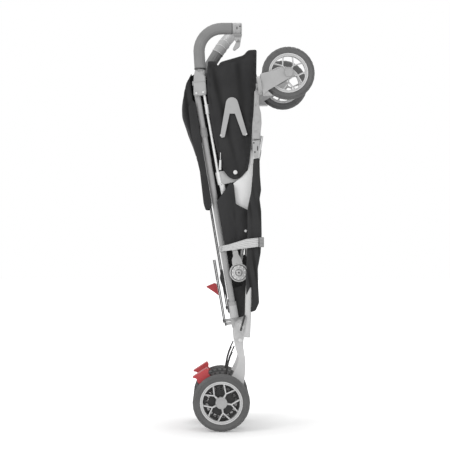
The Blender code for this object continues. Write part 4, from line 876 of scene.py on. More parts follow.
backEdgeSet = {
    "outline": [(-0.0445, 0.3330), (-0.0420, 0.3190), (-0.0310, 0.3165), (-0.0230, 0.3290), (-0.0228, 0.5000),
                (-0.0243, 0.5060), (-0.0243, 0.5310), (-0.0227, 0.5360), (-0.0227, 0.5980), (-0.0290, 0.6060),
                (-0.0420, 0.5900), (-0.0460, 0.5200), (-0.0400, 0.4220)],
    "corner": 0.004, "at": 0.0942, "spacing": 0.0040, "thick": 0.0012, "calm": 0.006,
    "ripple": (0.0006, 90, 22, 3.0),
    # a raised seam as (height, v, width), and the back that is tucked in as (depth, v where it starts, width)
    "seam": (0.0008, -0.0330, 0.0030), "tuck": (0.0070, -0.0385, 0.0070),
}
# corners of the basket's cloth beside the foot of the push tube, the edge in x and z, the lip in v and u
basketCorner = {"corner": 0.002, "spacing": 0.0035, "thick": 0.0012, "calm": 0.004, "ripple": (0.0008, 120, 40, 5.0)}
basketEdgeSet = {
    "outline": [(-0.0681, 0.4207), (-0.0723, 0.3943), (-0.0631, 0.3680), (-0.0565, 0.3482), (-0.0540, 0.3420),
                (-0.0530, 0.3500), (-0.0605, 0.3960), (-0.0645, 0.4190)],
    "at": 0.0835, **basketCorner,
}
basketLipSet = {
    "outline": [(-0.0056, 0.1000), (-0.0056, 0.0250), (-0.0040, 0.0215), (0.0115, 0.0225), (0.0236, 0.0640),
                (0.0400, 0.0950), (0.0300, 0.1050)],
    "at": 0.0735, **basketCorner,
}
liningSet = {
    "outline": [(-0.0385, 0.6480), (-0.0150, 0.6660), (0.0010, 0.6840), (0.0060, 0.7290), (0.0100, 0.7380),
                (0.0156, 0.6742), (0.0117, 0.6240), (0.0014, 0.5780), (-0.0309, 0.5930)],
    "corner": 0.003, "at": 0.0928, "spacing": 0.0045, "thick": 0.0008, "calm": 0.008,
    "ripple": (0.0007, 60, 30, 11.0),
    # its row of stitches, each as (spacing, length, width, depth)
    "seam": [(0.0050, 0.590), (0.0085, 0.624), (0.0122, 0.674)], "seamRise": 0.0006,
    "stitch": (0.0032, 0.0020, 0.0006, 0.0005),
}


def backEdgeLift(values, co, inside, side):
    v, u = tubeFrame(co)
    rise, seamV, seamWidth = values["seam"]
    tuck, start, width = values["tuck"]
    height = ripple(values, v, u, side)
    height += rise * ridge(v, seamV, seamWidth)
    behind = min(1.0, max(0.0, (start - v) / width))
    return height * min(1.0, inside / values["calm"]) - tuck * behind, 0


def plainLift(values, co, inside, side):
    return ripple(values, co.x, co.z, side) * min(1.0, inside / values["calm"]), 0


def backEdge(side):
    # the back's side seam, drawn round the links to the push tube
    outline = roundedOutline(fromTube(backEdgeSet["outline"]), backEdgeSet["corner"])
    obj = sheetObject(sideNames[side] + "_back_edge", side, backEdgeSet, outline, backEdgeLift)
    dress(obj, paint["black_cloth"], sideNames[side] + "_push", smooth=50)


def basketEdge(side, name, points, values):
    outline = roundedOutline(points, values["corner"])
    obj = sheetObject(sideNames[side] + name, side, values, outline, plainLift)
    dress(obj, paint["black_cloth"], sideNames[side] + "_push", smooth=50)


def lining(side):
    # the pale lining that shows between the hood's side and the seat's side
    values = liningSet
    outline = roundedOutline(values["outline"], values["corner"])
    obj = sheetObject(sideNames[side] + "_lining", side, values, outline, plainLift)
    dress(obj, paint["grey_panel"], sideNames[side] + "_push", smooth=50)
    seam = [Vector((x, side * (values["at"] + values["seamRise"]), z)) for x, z in values["seam"]]
    detail(side, "lining_seam", [stitchShape(seam, *values["stitch"])], "webbing", smooth=0)


# the back's pouch in x and z, the hood's back in v and u
pouchSet = {
    "outline": [(-0.1401, 0.9417), (-0.1562, 0.9194), (-0.1679, 0.8958), (-0.1722, 0.8606), (-0.1727, 0.8269),
                (-0.1676, 0.8099), (-0.1560, 0.7800), (-0.1440, 0.7560), (-0.1300, 0.7560), (-0.1225, 0.8300),
                (-0.1240, 0.8709), (-0.1280, 0.9372)],
    "half": 0.0620, "spacing": 0.0070, "across": 0.0060, "corner": 0.006, "middle": -0.0300, "waves": 3,
    "depth": 0.10, "edge": 0.12, "round": 0.010, "wrinkle": 0.0022, "dent": 0.0040, "seed": 21.0,
}
hoodBackSet = {
    "outline": [(-0.0196, 0.4620), (-0.0196, 0.6560), (0.0225, 0.6560), (0.0228, 0.4620)],
    "half": 0.0700, "spacing": 0.0070, "across": 0.0060, "corner": 0.004, "middle": 0.0015, "waves": 3,
    "depth": 0.10, "edge": 0.06, "round": 0.006, "wrinkle": 0.0012, "dent": 0.0030, "seed": 31.0,
}


def makeLining():
    for side in (rightSide, leftSide):
        backEdge(side)
        basketEdge(side, "_basket_edge", basketEdgeSet["outline"], basketEdgeSet)
        basketEdge(side, "_basket_lip", fromTube(basketLipSet["outline"]), basketLipSet)
        lining(side)
    bunch("back_pouch", toTube(pouchSet["outline"]), pouchSet, replacing=False)
    bunch("hood_back", hoodBackSet["outline"], hoodBackSet, replacing=False)
    print("linings made")


makeLining()


# fasteners, sleeves and trim

def domeShape(x, z, side, base, radius, height, steps=24):
    # a round rivet's head, its foot sunk a little in its seat
    profile = [(0, base - 0.0004), (radius, base - 0.0004), (radius, base + 0.1 * height),
               (radius * 0.93, base + 0.45 * height), (radius * 0.72, base + 0.78 * height),
               (radius * 0.38, base + 0.96 * height), (0, base + height)]
    return latheShape(x, z, side, profile, steps)


def boltShape(x, z, side, base, radius, height):
    # a six-sided head with a washer and a sunk middle
    washer = latheShape(x, z, side, [(0, base - 0.0003), (radius * 1.45, base - 0.0003),
                                     (radius * 1.45, base + 0.0006), (radius * 1.36, base + 0.0009),
                                     (0, base + 0.0009)])
    head = latheShape(x, z, side, [(0, base), (radius, base), (radius, base + height * 0.8),
                                   (radius * 0.88, base + height), (radius * 0.50, base + height),
                                   (radius * 0.46, base + height * 0.45), (0, base + height * 0.40)], steps=6)
    return [washer, head]


# small rivets as (x, z, depth of their seat, radius, height, body), and the bolt at the frame's pivot
rivetSet = [
    (-0.1168, 0.8875, 0.0994, 0.0030, 0.0012, "push"), (-0.1345, 0.8850, 0.0994, 0.0030, 0.0012, "push"),
    (-0.0325, 0.6772, 0.1027, 0.0056, 0.0026, "push"), (-0.1334, 0.7188, 0.0830, 0.0022, 0.0012, "push"),
    (-0.0705, 0.7745, 0.1007, 0.0022, 0.0008, "push"), (-0.0030, 0.7775, 0.1007, 0.0022, 0.0008, "push"),
    (-0.0161, 0.2743, 0.1210, 0.0070, 0.0026, "front"), (-0.0052, 0.5233, 0.1043, 0.0036, 0.0012, "front"),
    (-0.0198, 0.2369, 0.1010, 0.0050, 0.0020, "rear"),
]
pivotBolt = {"x": -0.0161, "z": 0.2743, "base": 0.1233, "radius": 0.0042, "height": 0.0026}


def makeRivets():
    for side in (rightSide, leftSide):
        for part in ("push", "front", "rear"):
            shapes = [domeShape(x, z, side, base, radius, height)
                      for x, z, base, radius, height, owner in rivetSet if owner == part]
            detail(side, part + "_rivets", shapes, "pale_plastic", part)
        detail(side, "pivot_bolt", boltShape(side=side, **pivotBolt), "silver_tube", "front")
    print("rivets made")


hubSet = {
    "x": -0.0230, "z": 0.4141, "floor": 0.1000, "bumps": 10, "bumpRing": 0.0168, "bump": (0.0029, 0.0018, 16),
    # bands as (inner radius, outer radius, low and high above the floor)
    "ring": (0.0108, 0.0128, -0.0003, 0.0014), "ringSlant": 0.0002,
    "grooves": [(0.0060, 0.0082, 0.0030, 0.0039), (0.0194, 0.0208, -0.0003, 0.0003)],
    "bolt": (0.1036, 0.0050, 0.0022), "socket": (0.0022, 0.1040, 0.1048),
}
# the stem above the hub: ribs as (v of their back end, u), collars by their u
stemSet = {
    "ribs": [(0.0052, 0.1680), (0.0052, 0.1722), (0.0075, 0.1764)], "ribFront": 0.0270, "ribDepth": 0.0995,
    "ribRadius": 0.0013, "collars": (0.1875, 0.1915, 0.1955, 0.1995), "collarV": 0.0158, "collarDepth": 0.0880,
    "collarHalf": 0.0011, "collarRadius": 0.0074,
}
# the stop rod beside the stem, as (x and z of both ends, radius) of its two parts
stopSet = {"depth": 0.0850, "parts": [(0.0005, 0.4722, 0.0031, 0.4380, 0.0040),
                                      (0.0002, 0.4742, -0.0002, 0.4800, 0.0055)]}
# the sheaths over the brake cables
sheathSet = {
    "line": [(-0.0408, 0.2050), (-0.0462, 0.1935), (-0.0512, 0.1770), (-0.0545, 0.1590), (-0.0572, 0.1420),
             (-0.0592, 0.1270)],
    "depth": 0.0820, "radius": 0.0027,
}


def makeHub(side):
    values = hubSet
    x, z, floor = values["x"], values["z"], values["floor"]
    radius, height, steps = values["bump"]
    bumps = [domeShape(*around(x, z, values["bumpRing"], 2 * math.pi * (i + 0.5) / values["bumps"]), side, floor,
                       radius, height, steps) for i in range(values["bumps"])]
    inner, outer, low, high = values["ring"]
    bumps.append(bandShape(x, z, side, inner, outer, floor + low, floor + high, values["ringSlant"]))
    detail(side, "hub_bumps", bumps, "pale_plastic")
    grooves = [bandShape(x, z, side, inner, outer, floor + low, floor + high)
               for inner, outer, low, high in values["grooves"]]
    detail(side, "hub_grooves", grooves, "dark_plastic")
    detail(side, "hub_bolt", boltShape(x, z, side, *values["bolt"]), "silver_tube")
    radius, low, high = values["socket"]
    socket = latheShape(x, z, side, [(0, low), (radius, low), (radius, high), (0, high)], 16)
    detail(side, "hub_socket", [socket], "dark_plastic")


def makeStem(side):
    values = stemSet
    ribs = []
    for v, u in values["ribs"]:
        depth = side * values["ribDepth"]
        ribs.append(rodShape(tubePoint(v, u, depth), tubePoint(values["ribFront"], u, depth), values["ribRadius"],
                             segments=10))
    half = up * values["collarHalf"]
    for u in values["collars"]:
        centre = tubePoint(values["collarV"], u, side * values["collarDepth"])
        ribs.append(rodShape(centre - half, centre + half, values["collarRadius"], segments=28))
    detail(side, "stem_ribs", ribs, "pale_plastic")
    depth = side * stopSet["depth"]
    rods = [rodShape((x, depth, z), (endX, depth, endZ), radius) for x, z, endX, endZ, radius in stopSet["parts"]]
    detail(side, "stop_rod", rods, "grey_tube")


def makeSheath(side):
    line = [(x, side * sheathSet["depth"], z) for x, z in sheathSet["line"]]
    sheath = tubeObject(sideNames[side] + "_cable_sheath", line, sheathSet["radius"])
    dress(sheath, paint["black_cable"], bodyOf(side, "rear"))


# sleeves on the thin tubes, their joiners and the zip pulls, each along a line of the side view
trimSet = {
    "depth": 0.0880,
    "sleeve": ((-0.1082, 0.8560), (-0.1046, 0.8315)), "sleeveRadius": 0.0052, "band": 0.0026, "bandRise": 0.0006,
    "inset": 0.002,
    "joiner": ((-0.0668, 0.6445), (-0.0632, 0.6270), (-0.0605, 0.6130)), "joinerRadius": 0.0068,
    "tipRadii": (0.0030, 0.0056), "tipGap": 0.1,
    "collar": ((0.0008, 0, -0.0010), (0.0002, 0, 0.0030)), "collarRadius": 0.0076,
    "pull": ((-0.0716, 0.7290), (-0.0716, 0.7110), (-0.0728, 0.6835)), "pullDepth": 0.0990, "cordRadius": 0.0009,
    "pullRadii": (0.0026, 0.0034), "pullOverlap": 0.001,
}


def makeTrim(side):
    values = trimSet
    depth = side * values["depth"]
    top, low = (Vector((x, depth, z)) for x, z in values["sleeve"])
    along = (top - low).normalized()
    inset, band, wide = along * values["inset"], along * values["band"], values["sleeveRadius"] + values["bandRise"]
    sleeve = [rodShape(low + inset, top - inset, values["sleeveRadius"]), rodShape(low, low + band, wide),
              rodShape(top - band, top, wide)]
    detail(side, "tube_sleeve", sleeve, "pale_plastic")
    high, waist, tip = (Vector((x, depth, z)) for x, z in values["joiner"])
    under, over = (Vector(way) for way in values["collar"])
    joiner = [rodShape(waist, high, values["joinerRadius"]),
              rodShape(tip, waist + (tip - waist) * values["tipGap"], *values["tipRadii"]),
              rodShape(high - under, high + over, values["collarRadius"])]
    detail(side, "tube_joiner", joiner, "pale_plastic")
    ring, neck, end = (Vector((x, side * values["pullDepth"], z)) for x, z in values["pull"])
    pull = [rodShape(ring, neck, values["cordRadius"], segments=10, bevel=0.0002),
            rodShape(neck - Vector((0, 0, values["pullOverlap"])), end, *values["pullRadii"], segments=14)]
    detail(side, "zip_pull", pull, "pale_plastic")


# seat pad and carry strap

seatSet = {
    "hub": (-0.02326, 0.41439), "along": (0.16648, 0.98604), "low": 0.0500, "high": 0.3440, "half": 0.0735,
    "thick": 0.0060, "rimLength": 0.1, "rimRound": 0.002, "voxel": 0.0045, "pressure": 4.0, "cap": 0.0038,
    "frames": 20,
    # sewn channels across the pad, as places along it, and a seam round it inside its edge
    "channels": (0.1465, 0.2480), "channelWidth": 0.0055, "channelDepth": 0.0030, "edgeSeam": 0.010,
    "seamWidth": 0.0028, "seamShare": 0.7, "deepest": 0.8, "ripple": (0.0004, 60, 60, 2.0),
}


def swell(obj, values):
    # blows the pad up as cloth, no further than a cap
    start = [vert.co.copy() for vert in obj.data.vertices]
    cloth = obj.modifiers.new("swell", "CLOTH")
    cloth.settings.use_pressure = True
    cloth.settings.uniform_pressure_force = values["pressure"]
    cloth.settings.effector_weights.gravity = 0
    cloth.point_cache.frame_start = 1
    cloth.point_cache.frame_end = values["frames"]
    scene = bpy.context.scene
    for number in range(1, values["frames"] + 1):
        scene.frame_set(number)
    obj = applyModifiers(obj)
    scene.frame_set(1)
    for vert, before in zip(obj.data.vertices, start):
        moved = vert.co - before
        if moved.length > values["cap"]:
            vert.co = before + moved.normalized() * values["cap"]
    return obj


def makeSeatPad():
    # the seat's base, a thin pad blown up as cloth and then quilted
    values = seatSet
    low, high, half = values["low"], values["high"], values["half"]
    along = Vector((values["along"][0], 0, values["along"][1]))
    across = Vector((along.z, 0, -along.x))
    hub = Vector((values["hub"][0], 0, values["hub"][1]))
    shape = bmesh.new()
    corners = [hub + along * t + Vector((0, y, 0)) - across * values["thick"] / 2
               for t, y in ((low, -half), (high, -half), (high, half), (low, half))]
    shape.faces.new([shape.verts.new(corner) for corner in corners])
    thicken(shape, across * values["thick"])
    roundEdges(shape, [edge for edge in shape.edges if edge.calc_length() > values["rimLength"]], values["rimRound"])
    obj = makeObject("seat_pad", shape)
    remesh = obj.modifiers.new("grid", "REMESH")
    remesh.mode = "VOXEL"
    remesh.voxel_size = values["voxel"]
    obj = applyModifiers(obj)
    obj = swell(obj, values)
    middle, reach = (low + high) / 2, (high - low) / 2
    for vert in obj.data.vertices:
        offset = vert.co - hub
        t, out = offset.dot(along), offset.dot(across)
        dent = sum(ridge(t, place, values["channelWidth"]) for place in values["channels"])
        edge = min(reach - abs(t - middle), half - abs(vert.co.y))
        dent = min(1.0, dent + values["seamShare"] * ridge(edge, values["edgeSeam"], values["seamWidth"]))
        vert.co -= across * math.copysign(min(abs(out) * values["deepest"], dent * values["channelDepth"]), out)
        vert.co += across * ripple(values, t, vert.co.y, 1)
    obj = soften(obj)
    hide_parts("seat_base")
    dress(obj, paint["black_cloth"], "right_seat", smooth=70)
    print("seat pad made")


strapSet = {
    # the strap's lower and upper edges from its foot to its clip
    "low": [(-0.0722, 0.4705), (-0.0555, 0.4718), (-0.0100, 0.4778), (0.0270, 0.4826)],
    "high": [(-0.0716, 0.4838), (-0.0500, 0.4880), (-0.0050, 0.5020), (0.0270, 0.5056)],
    "at": 0.1275, "ribs": 5, "ribHeight": 0.0005, "thick": 0.0013, "along": 56, "across": 40,
    "ripple": (0.0004, 5, 1, 8.0), "outlineSteps": 12,
    # rows of stitches as shares of its length, and their rise above its middle
    "seams": (0.05, 0.09, 0.955), "seamRise": 0.0011, "seamInset": 0.001,
    "stitch": (0.0024, 0.0016, 0.0005, 0.0005),
    "clipRidges": 6, "ridgeInset": (0.0015, 0.0002), "ridgeRadius": 0.0009,
}


def strapPoint(line, t):
    # a place along one edge, eased a little at each of its corners
    count = len(line) - 1
    i = min(int(t * count), count - 1)
    f = t * count - i
    return Vector(line[i]).lerp(Vector(line[i + 1]), f * f * (3 - 2 * f) * 0.35 + f * 0.65)


def makeStrap():
    # tapered webbing with ribs along it and a seam at each end
    values = strapSet
    shape = bmesh.new()
    bmesh.ops.create_grid(shape, x_segments=values["along"], y_segments=values["across"], size=0.5)
    paintedShade = shape.verts.layers.float.new("paintedShade")
    for vert in shape.verts:
        t, s = vert.co.x + 0.5, vert.co.y + 0.5
        wave = math.cos(2 * math.pi * values["ribs"] * s)
        # painted shade in the valleys between the ribs
        vert[paintedShade] = max(0.0, -wave) ** 2
        place = strapPoint(values["low"], t).lerp(strapPoint(values["high"], t), s)
        vert.co = Vector((place.x, -values["at"] - values["ribHeight"] * wave - ripple(values, t, s, 1), place.y))
    steps = values["outlineSteps"]
    outline = [strapPoint(values["low"], i / steps) for i in range(steps + 1)]
    outline += [strapPoint(values["high"], 1 - i / steps) for i in range(steps + 1)]
    obj = wallObject("carry_webbing", shape, rightSide, values["thick"])
    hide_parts("carry_strap")
    dress(obj, paint["webbing"], "strap", smooth=60)
    seams = []
    for t in values["seams"]:
        low, high = strapPoint(values["low"], t), strapPoint(values["high"], t)
        face, inset = -values["at"] - values["seamRise"], values["seamInset"]
        seams.append(stitchShape([Vector((low.x, face, low.y + inset)), Vector((high.x, face, high.y - inset))],
                                 *values["stitch"]))
    gather("carry_stitches", seams, "thread", "strap", smooth=0)
    # ridges on the clip, for the fingers
    low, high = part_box("strap_clip")
    insetX, rise = values["ridgeInset"]
    ridges = []
    for i in range(values["clipRidges"]):
        z = low[2] + (high[2] - low[2]) * (i + 1) / (values["clipRidges"] + 1)
        ridges.append(rodShape((low[0] + insetX, low[1] - rise, z), (high[0] - insetX, low[1] - rise, z),
                               values["ridgeRadius"], segments=10, bevel=0.0003))
    gather("clip_ridges", ridges, "silver_plastic", "strap")
    print("strap made")


makeRivets()
for side in (rightSide, leftSide):
    makeHub(side)
    makeStem(side)
    makeSheath(side)
print("hubs made")
for side in (rightSide, leftSide):
    makeTrim(side)
print("trim made")
makeSeatPad()
makeStrap()


# the wheels: tread blocks, sidewall rings, rim lips, spoke ridges and caps

wheelSet = {
    "rear": {"name": "outer_wheel", "x": -0.06925, "z": 0.0753, "depth": 0.118, "facing": 1, "radius": 0.0753,
             "rim": 0.0560, "start": 63, "capOut": 0.0125, "capScale": 1.0},
    "inner": {"name": "inner_wheel", "x": -0.06925, "z": 0.0753, "depth": 0.046, "facing": -1, "radius": 0.0753,
              "rim": 0.0560, "start": 30, "capOut": 0.0125, "capScale": 1.0},
    "front": {"name": "front_wheel", "x": 0.10445, "z": 0.93306, "depth": 0.130, "facing": 1, "radius": 0.0690,
              "rim": 0.0515, "start": 56, "capOut": 0.02225, "capScale": 0.76},
    # each block lies between two places of the tyre's shoulder, as (in from its radius, out from its middle)
    "blocks": 34, "shoulder": ((0.0058, 0.0120), (0.0010, 0.0078)), "blockWidth": 0.0080, "blockHeight": 0.0009,
    "blockLength": 0.98, "blockSink": 0.0001, "blockSlant": 0.02, "stagger": 0.25,
    # rings as (radius beyond the rim, depth from the middle, half thickness)
    "rings": ((0.0022, 0.0104, 0.0006), (0.0052, 0.0112, 0.0004), (0.0105, 0.0128, 0.0005)),
    "lips": ((-0.0010, 0.0099, 0.0009), (-0.0062, 0.0099, 0.0007)),
    "cap": [(0, 0), (0.0142, 0), (0.0142, 0.0006), (0.0136, 0.0011), (0.0116, 0.0011), (0.0110, 0.0007), (0, 0.0007)],
    "capSink": 0.0002,
}
# Y-shaped ridges on the spokes, as parts of the way to the rim's inside and angles in degrees
spokeSet = {"count": 5, "from": 0.0150, "fork": 0.54, "branch": 18.5, "inside": 0.0072, "overlap": 0.0012,
            "stem": 0.0022, "arm": 0.0021, "face": 0.0060, "sink": 0.0004, "rise": 0.0009}
# the ratchet that the brake's pin drops into, on the outer wheel's inner face, in from its middle; it is a real part,
# but its dark colour and flat bands are painted shade behind the spokes
ratchetSet = {
    "teeth": 20, "reach": (0.0330, 0.0420), "width": 0.0040, "low": 0.0108, "high": 0.0070,
    "bands": [(0.0410, 0.0480, 0.0105, 0.0060), (0.0160, 0.0345, 0.0100, 0.0075)],
}


def treadShape(values, side):
    # slanted blocks on both shoulders of a tyre
    whole = bmesh.new()
    for face in (-1, 1):
        low, high = (Vector((values["radius"] - inner, values["depth"] + face * out))
                     for inner, out in wheelSet["shoulder"])
        out = Vector((high.y - low.y, low.x - high.x)).normalized()
        if out.x < 0:
            out = -out
        for i in range(wheelSet["blocks"]):
            made = bmesh.ops.create_cube(whole, size=1.0)
            angle = 2 * math.pi * (i + wheelSet["stagger"] * face) / wheelSet["blocks"]
            for vert in made["verts"]:
                x, y, z = vert.co
                place = low.lerp(high, 0.5 + wheelSet["blockLength"] * x)
                place += out * (wheelSet["blockHeight"] * z - wheelSet["blockSink"])
                turn = angle + y * wheelSet["blockWidth"] / values["radius"] + wheelSet["blockSlant"] * x
                placeX, placeZ = around(values["x"], values["z"], place.x, turn)
                vert.co = Vector((placeX, side * place.y, placeZ))
    return outwards(whole)


def ridgeBar(a, b, width, low, high, side):
    # a straight raised bar between two places of the side view
    a, b = Vector(a), Vector(b)
    across = Vector((-(b - a).y, (b - a).x)).normalized() * width / 2
    points = [a + across, b + across, b - across, a - across]
    return plateShape([(p.x, p.y) for p in points], side * low, side * high, rounding=0.0002, bevel=0.0003)


def wheelRings(values, side, rows):
    # rings on both faces of a wheel
    return [ringShape(values["x"], values["z"],
                      roundSection(values["rim"] + out, side * (values["depth"] + face * y), size), 40)
            for face in (-1, 1) for out, y, size in rows]


def spokeRidges(values, side):
    x, z = values["x"], values["z"]
    face = values["depth"] + values["facing"] * spokeSet["face"]
    low, high = face - spokeSet["sink"], face + spokeSet["rise"]
    inside = values["rim"] - spokeSet["inside"]
    fork = inside * spokeSet["fork"]
    shapes = []
    for i in range(spokeSet["count"]):
        angle = math.radians(values["start"]) + 2 * math.pi * i / spokeSet["count"]
        middle = around(x, z, fork, angle)
        shapes.append(ridgeBar(around(x, z, spokeSet["from"], angle), middle, spokeSet["stem"], low, high, side))
        for turn in (-1, 1):
            end = around(x, z, inside + spokeSet["overlap"], angle + turn * math.radians(spokeSet["branch"]))
            shapes.append(ridgeBar(middle, end, spokeSet["arm"], low, high, side))
    return shapes


def makeRatchet(wheel, side):
    values = ratchetSet
    x, z, depth = wheel["x"], wheel["z"], wheel["depth"]
    teeth = []
    for i in range(values["teeth"]):
        near, far = (around(x, z, radius, 2 * math.pi * i / values["teeth"]) for radius in values["reach"])
        teeth.append(ridgeBar(near, far, values["width"], depth - values["low"], depth - values["high"], side))
    for inner, outer, low, high in values["bands"]:
        teeth.append(bandShape(x, z, side, inner, outer, depth - low, depth - high))
    detail(side, "brake_ratchet_and_shade", teeth, "dark_plastic", wheel["name"])


def makeWheels():
    for side in (rightSide, leftSide):
        for kind in ("rear", "inner", "front"):
            values = wheelSet[kind]
            name, facing = values["name"], values["facing"]
            rings = [treadShape(values, side)] + wheelRings(values, side, wheelSet["rings"])
            detail(side, name + "_tread", rings, "rubber", name)
            lips = wheelRings(values, side, wheelSet["lips"]) + spokeRidges(values, side)
            detail(side, name + "_rim_lips", lips, "pale_plastic", name)
            out = values["depth"] + facing * values["capOut"]
            profile = [(radius * values["capScale"], out + facing * (height - wheelSet["capSink"]))
                       for radius, height in wheelSet["cap"]]
            cap = latheShape(values["x"], values["z"], side, profile)
            detail(side, name + "_cap", [cap], "silver_plastic", "caster" if kind == "front" else name)
            if kind == "rear":
                makeRatchet(values, side)
    print("wheels dressed")


# handles: rings at the foam's ends, the cap's recess, the far handle's collar

handleSet = {
    "x": -0.12475, "y": 0.0835, "foot": 0.9492, "top": 1.0567, "end": -0.0412, "lean": 33, "farTurn": 90,
    "neck": 0.0112,
    # dark rings as (from, to, radius), up from the foam's foot and forward from its end; the ring at the foam's foot
    # is painted shade where the foam meets the housing
    "footShadeRing": (0.0004, 0.0030, 0.0156), "endRings": [(-0.0004, 0.0008, 0.0155), (0.0222, 0.0229, 0.0154)],
    "paleRings": (0.0100, 0.0195), "paleSection": (0.0151, 0.0006),
    # a dot and a slit on the cap's outer side, from the foam's end and from the handle's middle
    "dot": (0.0207, 0.0036), "dotDepths": (0.0146, 0.0158), "dotRadius": 0.0019,
    "slit": [(0.0118, 0.0030), (0.0142, 0.0030), (0.0142, -0.0042), (0.0118, -0.0042)],
    "slitDepths": (0.0140, 0.0156),
    # the far handle's collar, round its bend
    "bend": 0.0600, "bendX": 0.0570, "bendAngles": range(142, 89, -4), "collarRings": (0, 4, 8),
    "collarSection": (0.0162, 0.0009), "collarRadius": 0.0161, "collarEnd": 0.0006,
}
# the housing's seam and its upper band, as (x and z of both ends, width)
seamSet = {"low": 0.0978, "high": 0.0990, "bars": [(-0.1405, 0.9135, -0.1115, 0.9160, 0.0006),
                                                   (-0.1368, 0.9440, -0.1148, 0.9440, 0.0010)]}
# the near handle's hook: its pivot, the dark block above it and the small one below
hookSet = {
    "pivot": (-0.0245, 1.0240, -0.0925, -0.0900, 0.0030),
    "blocks": [([(-0.0372, 1.0405), (-0.0150, 1.0405), (-0.0172, 1.0330), (-0.0345, 1.0330)], -0.0927, -0.0745),
               ([(-0.0305, 1.0225), (-0.0190, 1.0225), (-0.0200, 1.0205), (-0.0310, 1.0205)], -0.0915, -0.0760)],
}


def ringOf(centre, axis, radius, size):
    # a thin ring about any axis
    shape = ringShape(0, 0, roundSection(radius, 0, size), 36)
    turn = Vector((0, 1, 0)).rotation_difference(axis).to_matrix()
    bmesh.ops.rotate(shape, cent=(0, 0, 0), matrix=turn, verts=shape.verts)
    bmesh.ops.translate(shape, vec=centre, verts=shape.verts)
    return shape


def turnFarHandle(values, end, shapes):
    # the far handle is turned sideways about its stem, with a collar round its bend
    y = end.y
    bend = Vector((values["x"] + values["bendX"], y, values["top"] - values["bend"]))
    arc = [bend + values["bend"] * Vector((math.cos(math.radians(a)), 0, math.sin(math.radians(a))))
           for a in values["bendAngles"]]
    collar = [ringOf(arc[i], (arc[i + 1] - arc[i]).normalized(), *values["collarSection"])
              for i in values["collarRings"]]
    lean = math.radians(values["lean"])
    turn = Matrix.Rotation(math.radians(values["farTurn"]), 4, Vector((math.sin(lean), 0, math.cos(lean))))
    middle = Vector((values["x"], y, values["foot"] - values["neck"]))
    turn = Matrix.Translation(middle) @ turn @ Matrix.Translation(-middle)
    for shape in shapes + collar:
        bmesh.ops.transform(shape, matrix=turn, verts=shape.verts)
    gather("left_handle_collar_rings", collar, "pale_plastic", "left_handle")
    line = [turn @ place for place in arc + [end - Vector((values["collarEnd"], 0, 0))]]
    sleeve = tubeObject("left_handle_collar", line, values["collarRadius"], 5)
    dress(sleeve, paint["silver_plastic"], "left_handle", smooth=40)


def makeHandles():
    values = handleSet
    forward, upright = Vector((1, 0, 0)), Vector((0, 0, 1))
    for side in (rightSide, leftSide):
        y = side * values["y"]
        foot = Vector((values["x"], y, values["foot"]))
        end = Vector((values["end"], y, values["top"]))
        low, high, radius = values["footShadeRing"]
        dark = [rodShape(foot + upright * low, foot + upright * high, radius)]
        dark += [rodShape(end + forward * low, end + forward * high, radius)
                 for low, high, radius in values["endRings"]]
        low, high = (side * (values["y"] + depth) for depth in values["dotDepths"])
        x, z = values["dot"]
        dark.append(discShape(end.x + x, end.z + z, low, high, values["dotRadius"]))
        low, high = (side * (values["y"] + depth) for depth in values["slitDepths"])
        dark.append(plateShape([(end.x + x, end.z + z) for x, z in values["slit"]], low, high))
        pale = [ringOf(end + forward * place, forward, *values["paleSection"]) for place in values["paleRings"]]
        if side == leftSide:
            turnFarHandle(values, end, dark + pale)
        detail(side, "handle_rings", dark, "dark_plastic", "handle")
        detail(side, "handle_trim", pale, "silver_plastic", "handle")
        seams = [ridgeBar((x, z), (endX, endZ), width, seamSet["low"], seamSet["high"], side)
                 for x, z, endX, endZ, width in seamSet["bars"]]
        detail(side, "housing_seams", seams, "grey_plastic")
    hook = [discShape(*hookSet["pivot"])]
    hook += [plateShape(points, low, high) for points, low, high in hookSet["blocks"]]
    gather("right_hook_details", hook, "grey_plastic", "right_handle")
    print("handles dressed")


# pads, slots and buckle on the casters' brackets, and the stop rods at the frame's pivots

bracketSet = {
    "pads": [[(0.0150, 0.8151), (0.0192, 0.8295), (0.0343, 0.8164), (0.0226, 0.8021)],
             [(0.0150, 0.7969), (0.0260, 0.7891), (0.0174, 0.7825)],
             [(0.0134, 0.7799), (0.0291, 0.7799), (0.0291, 0.7630), (0.0134, 0.7630)],
             [(0.0180, 0.8850), (0.0285, 0.8850), (0.0280, 0.8600), (0.0185, 0.8480)]],
    "buckle": [(0.0110, 0.7578), (0.0290, 0.7578), (0.0278, 0.7174), (0.0150, 0.7160)],
    "gap": [(0.0145, 0.7630), (0.0320, 0.7630), (0.0320, 0.7612), (0.0145, 0.7612)],
    "dots": [(0.0150, 0.7526), (0.0181, 0.7286)], "dotRadius": 0.0021, "slot": (0.0250, 0.7382, 0.0012, 0.0060),
    "depths": {"pad": (0.1230, 0.1251), "buckle": (0.1238, 0.1262), "gap": (0.1230, 0.1241),
               "dot": (0.1255, 0.1268), "slot": (0.1255, 0.1267)},
    # rods as (both ends, radius)
    "rods": [((-0.0080, 0.1238, 0.3040), (-0.0192, 0.1238, 0.2629), 0.0027),
             ((-0.0070, 0.1150, 0.3020), (-0.0050, 0.1130, 0.3420), 0.0020)],
}


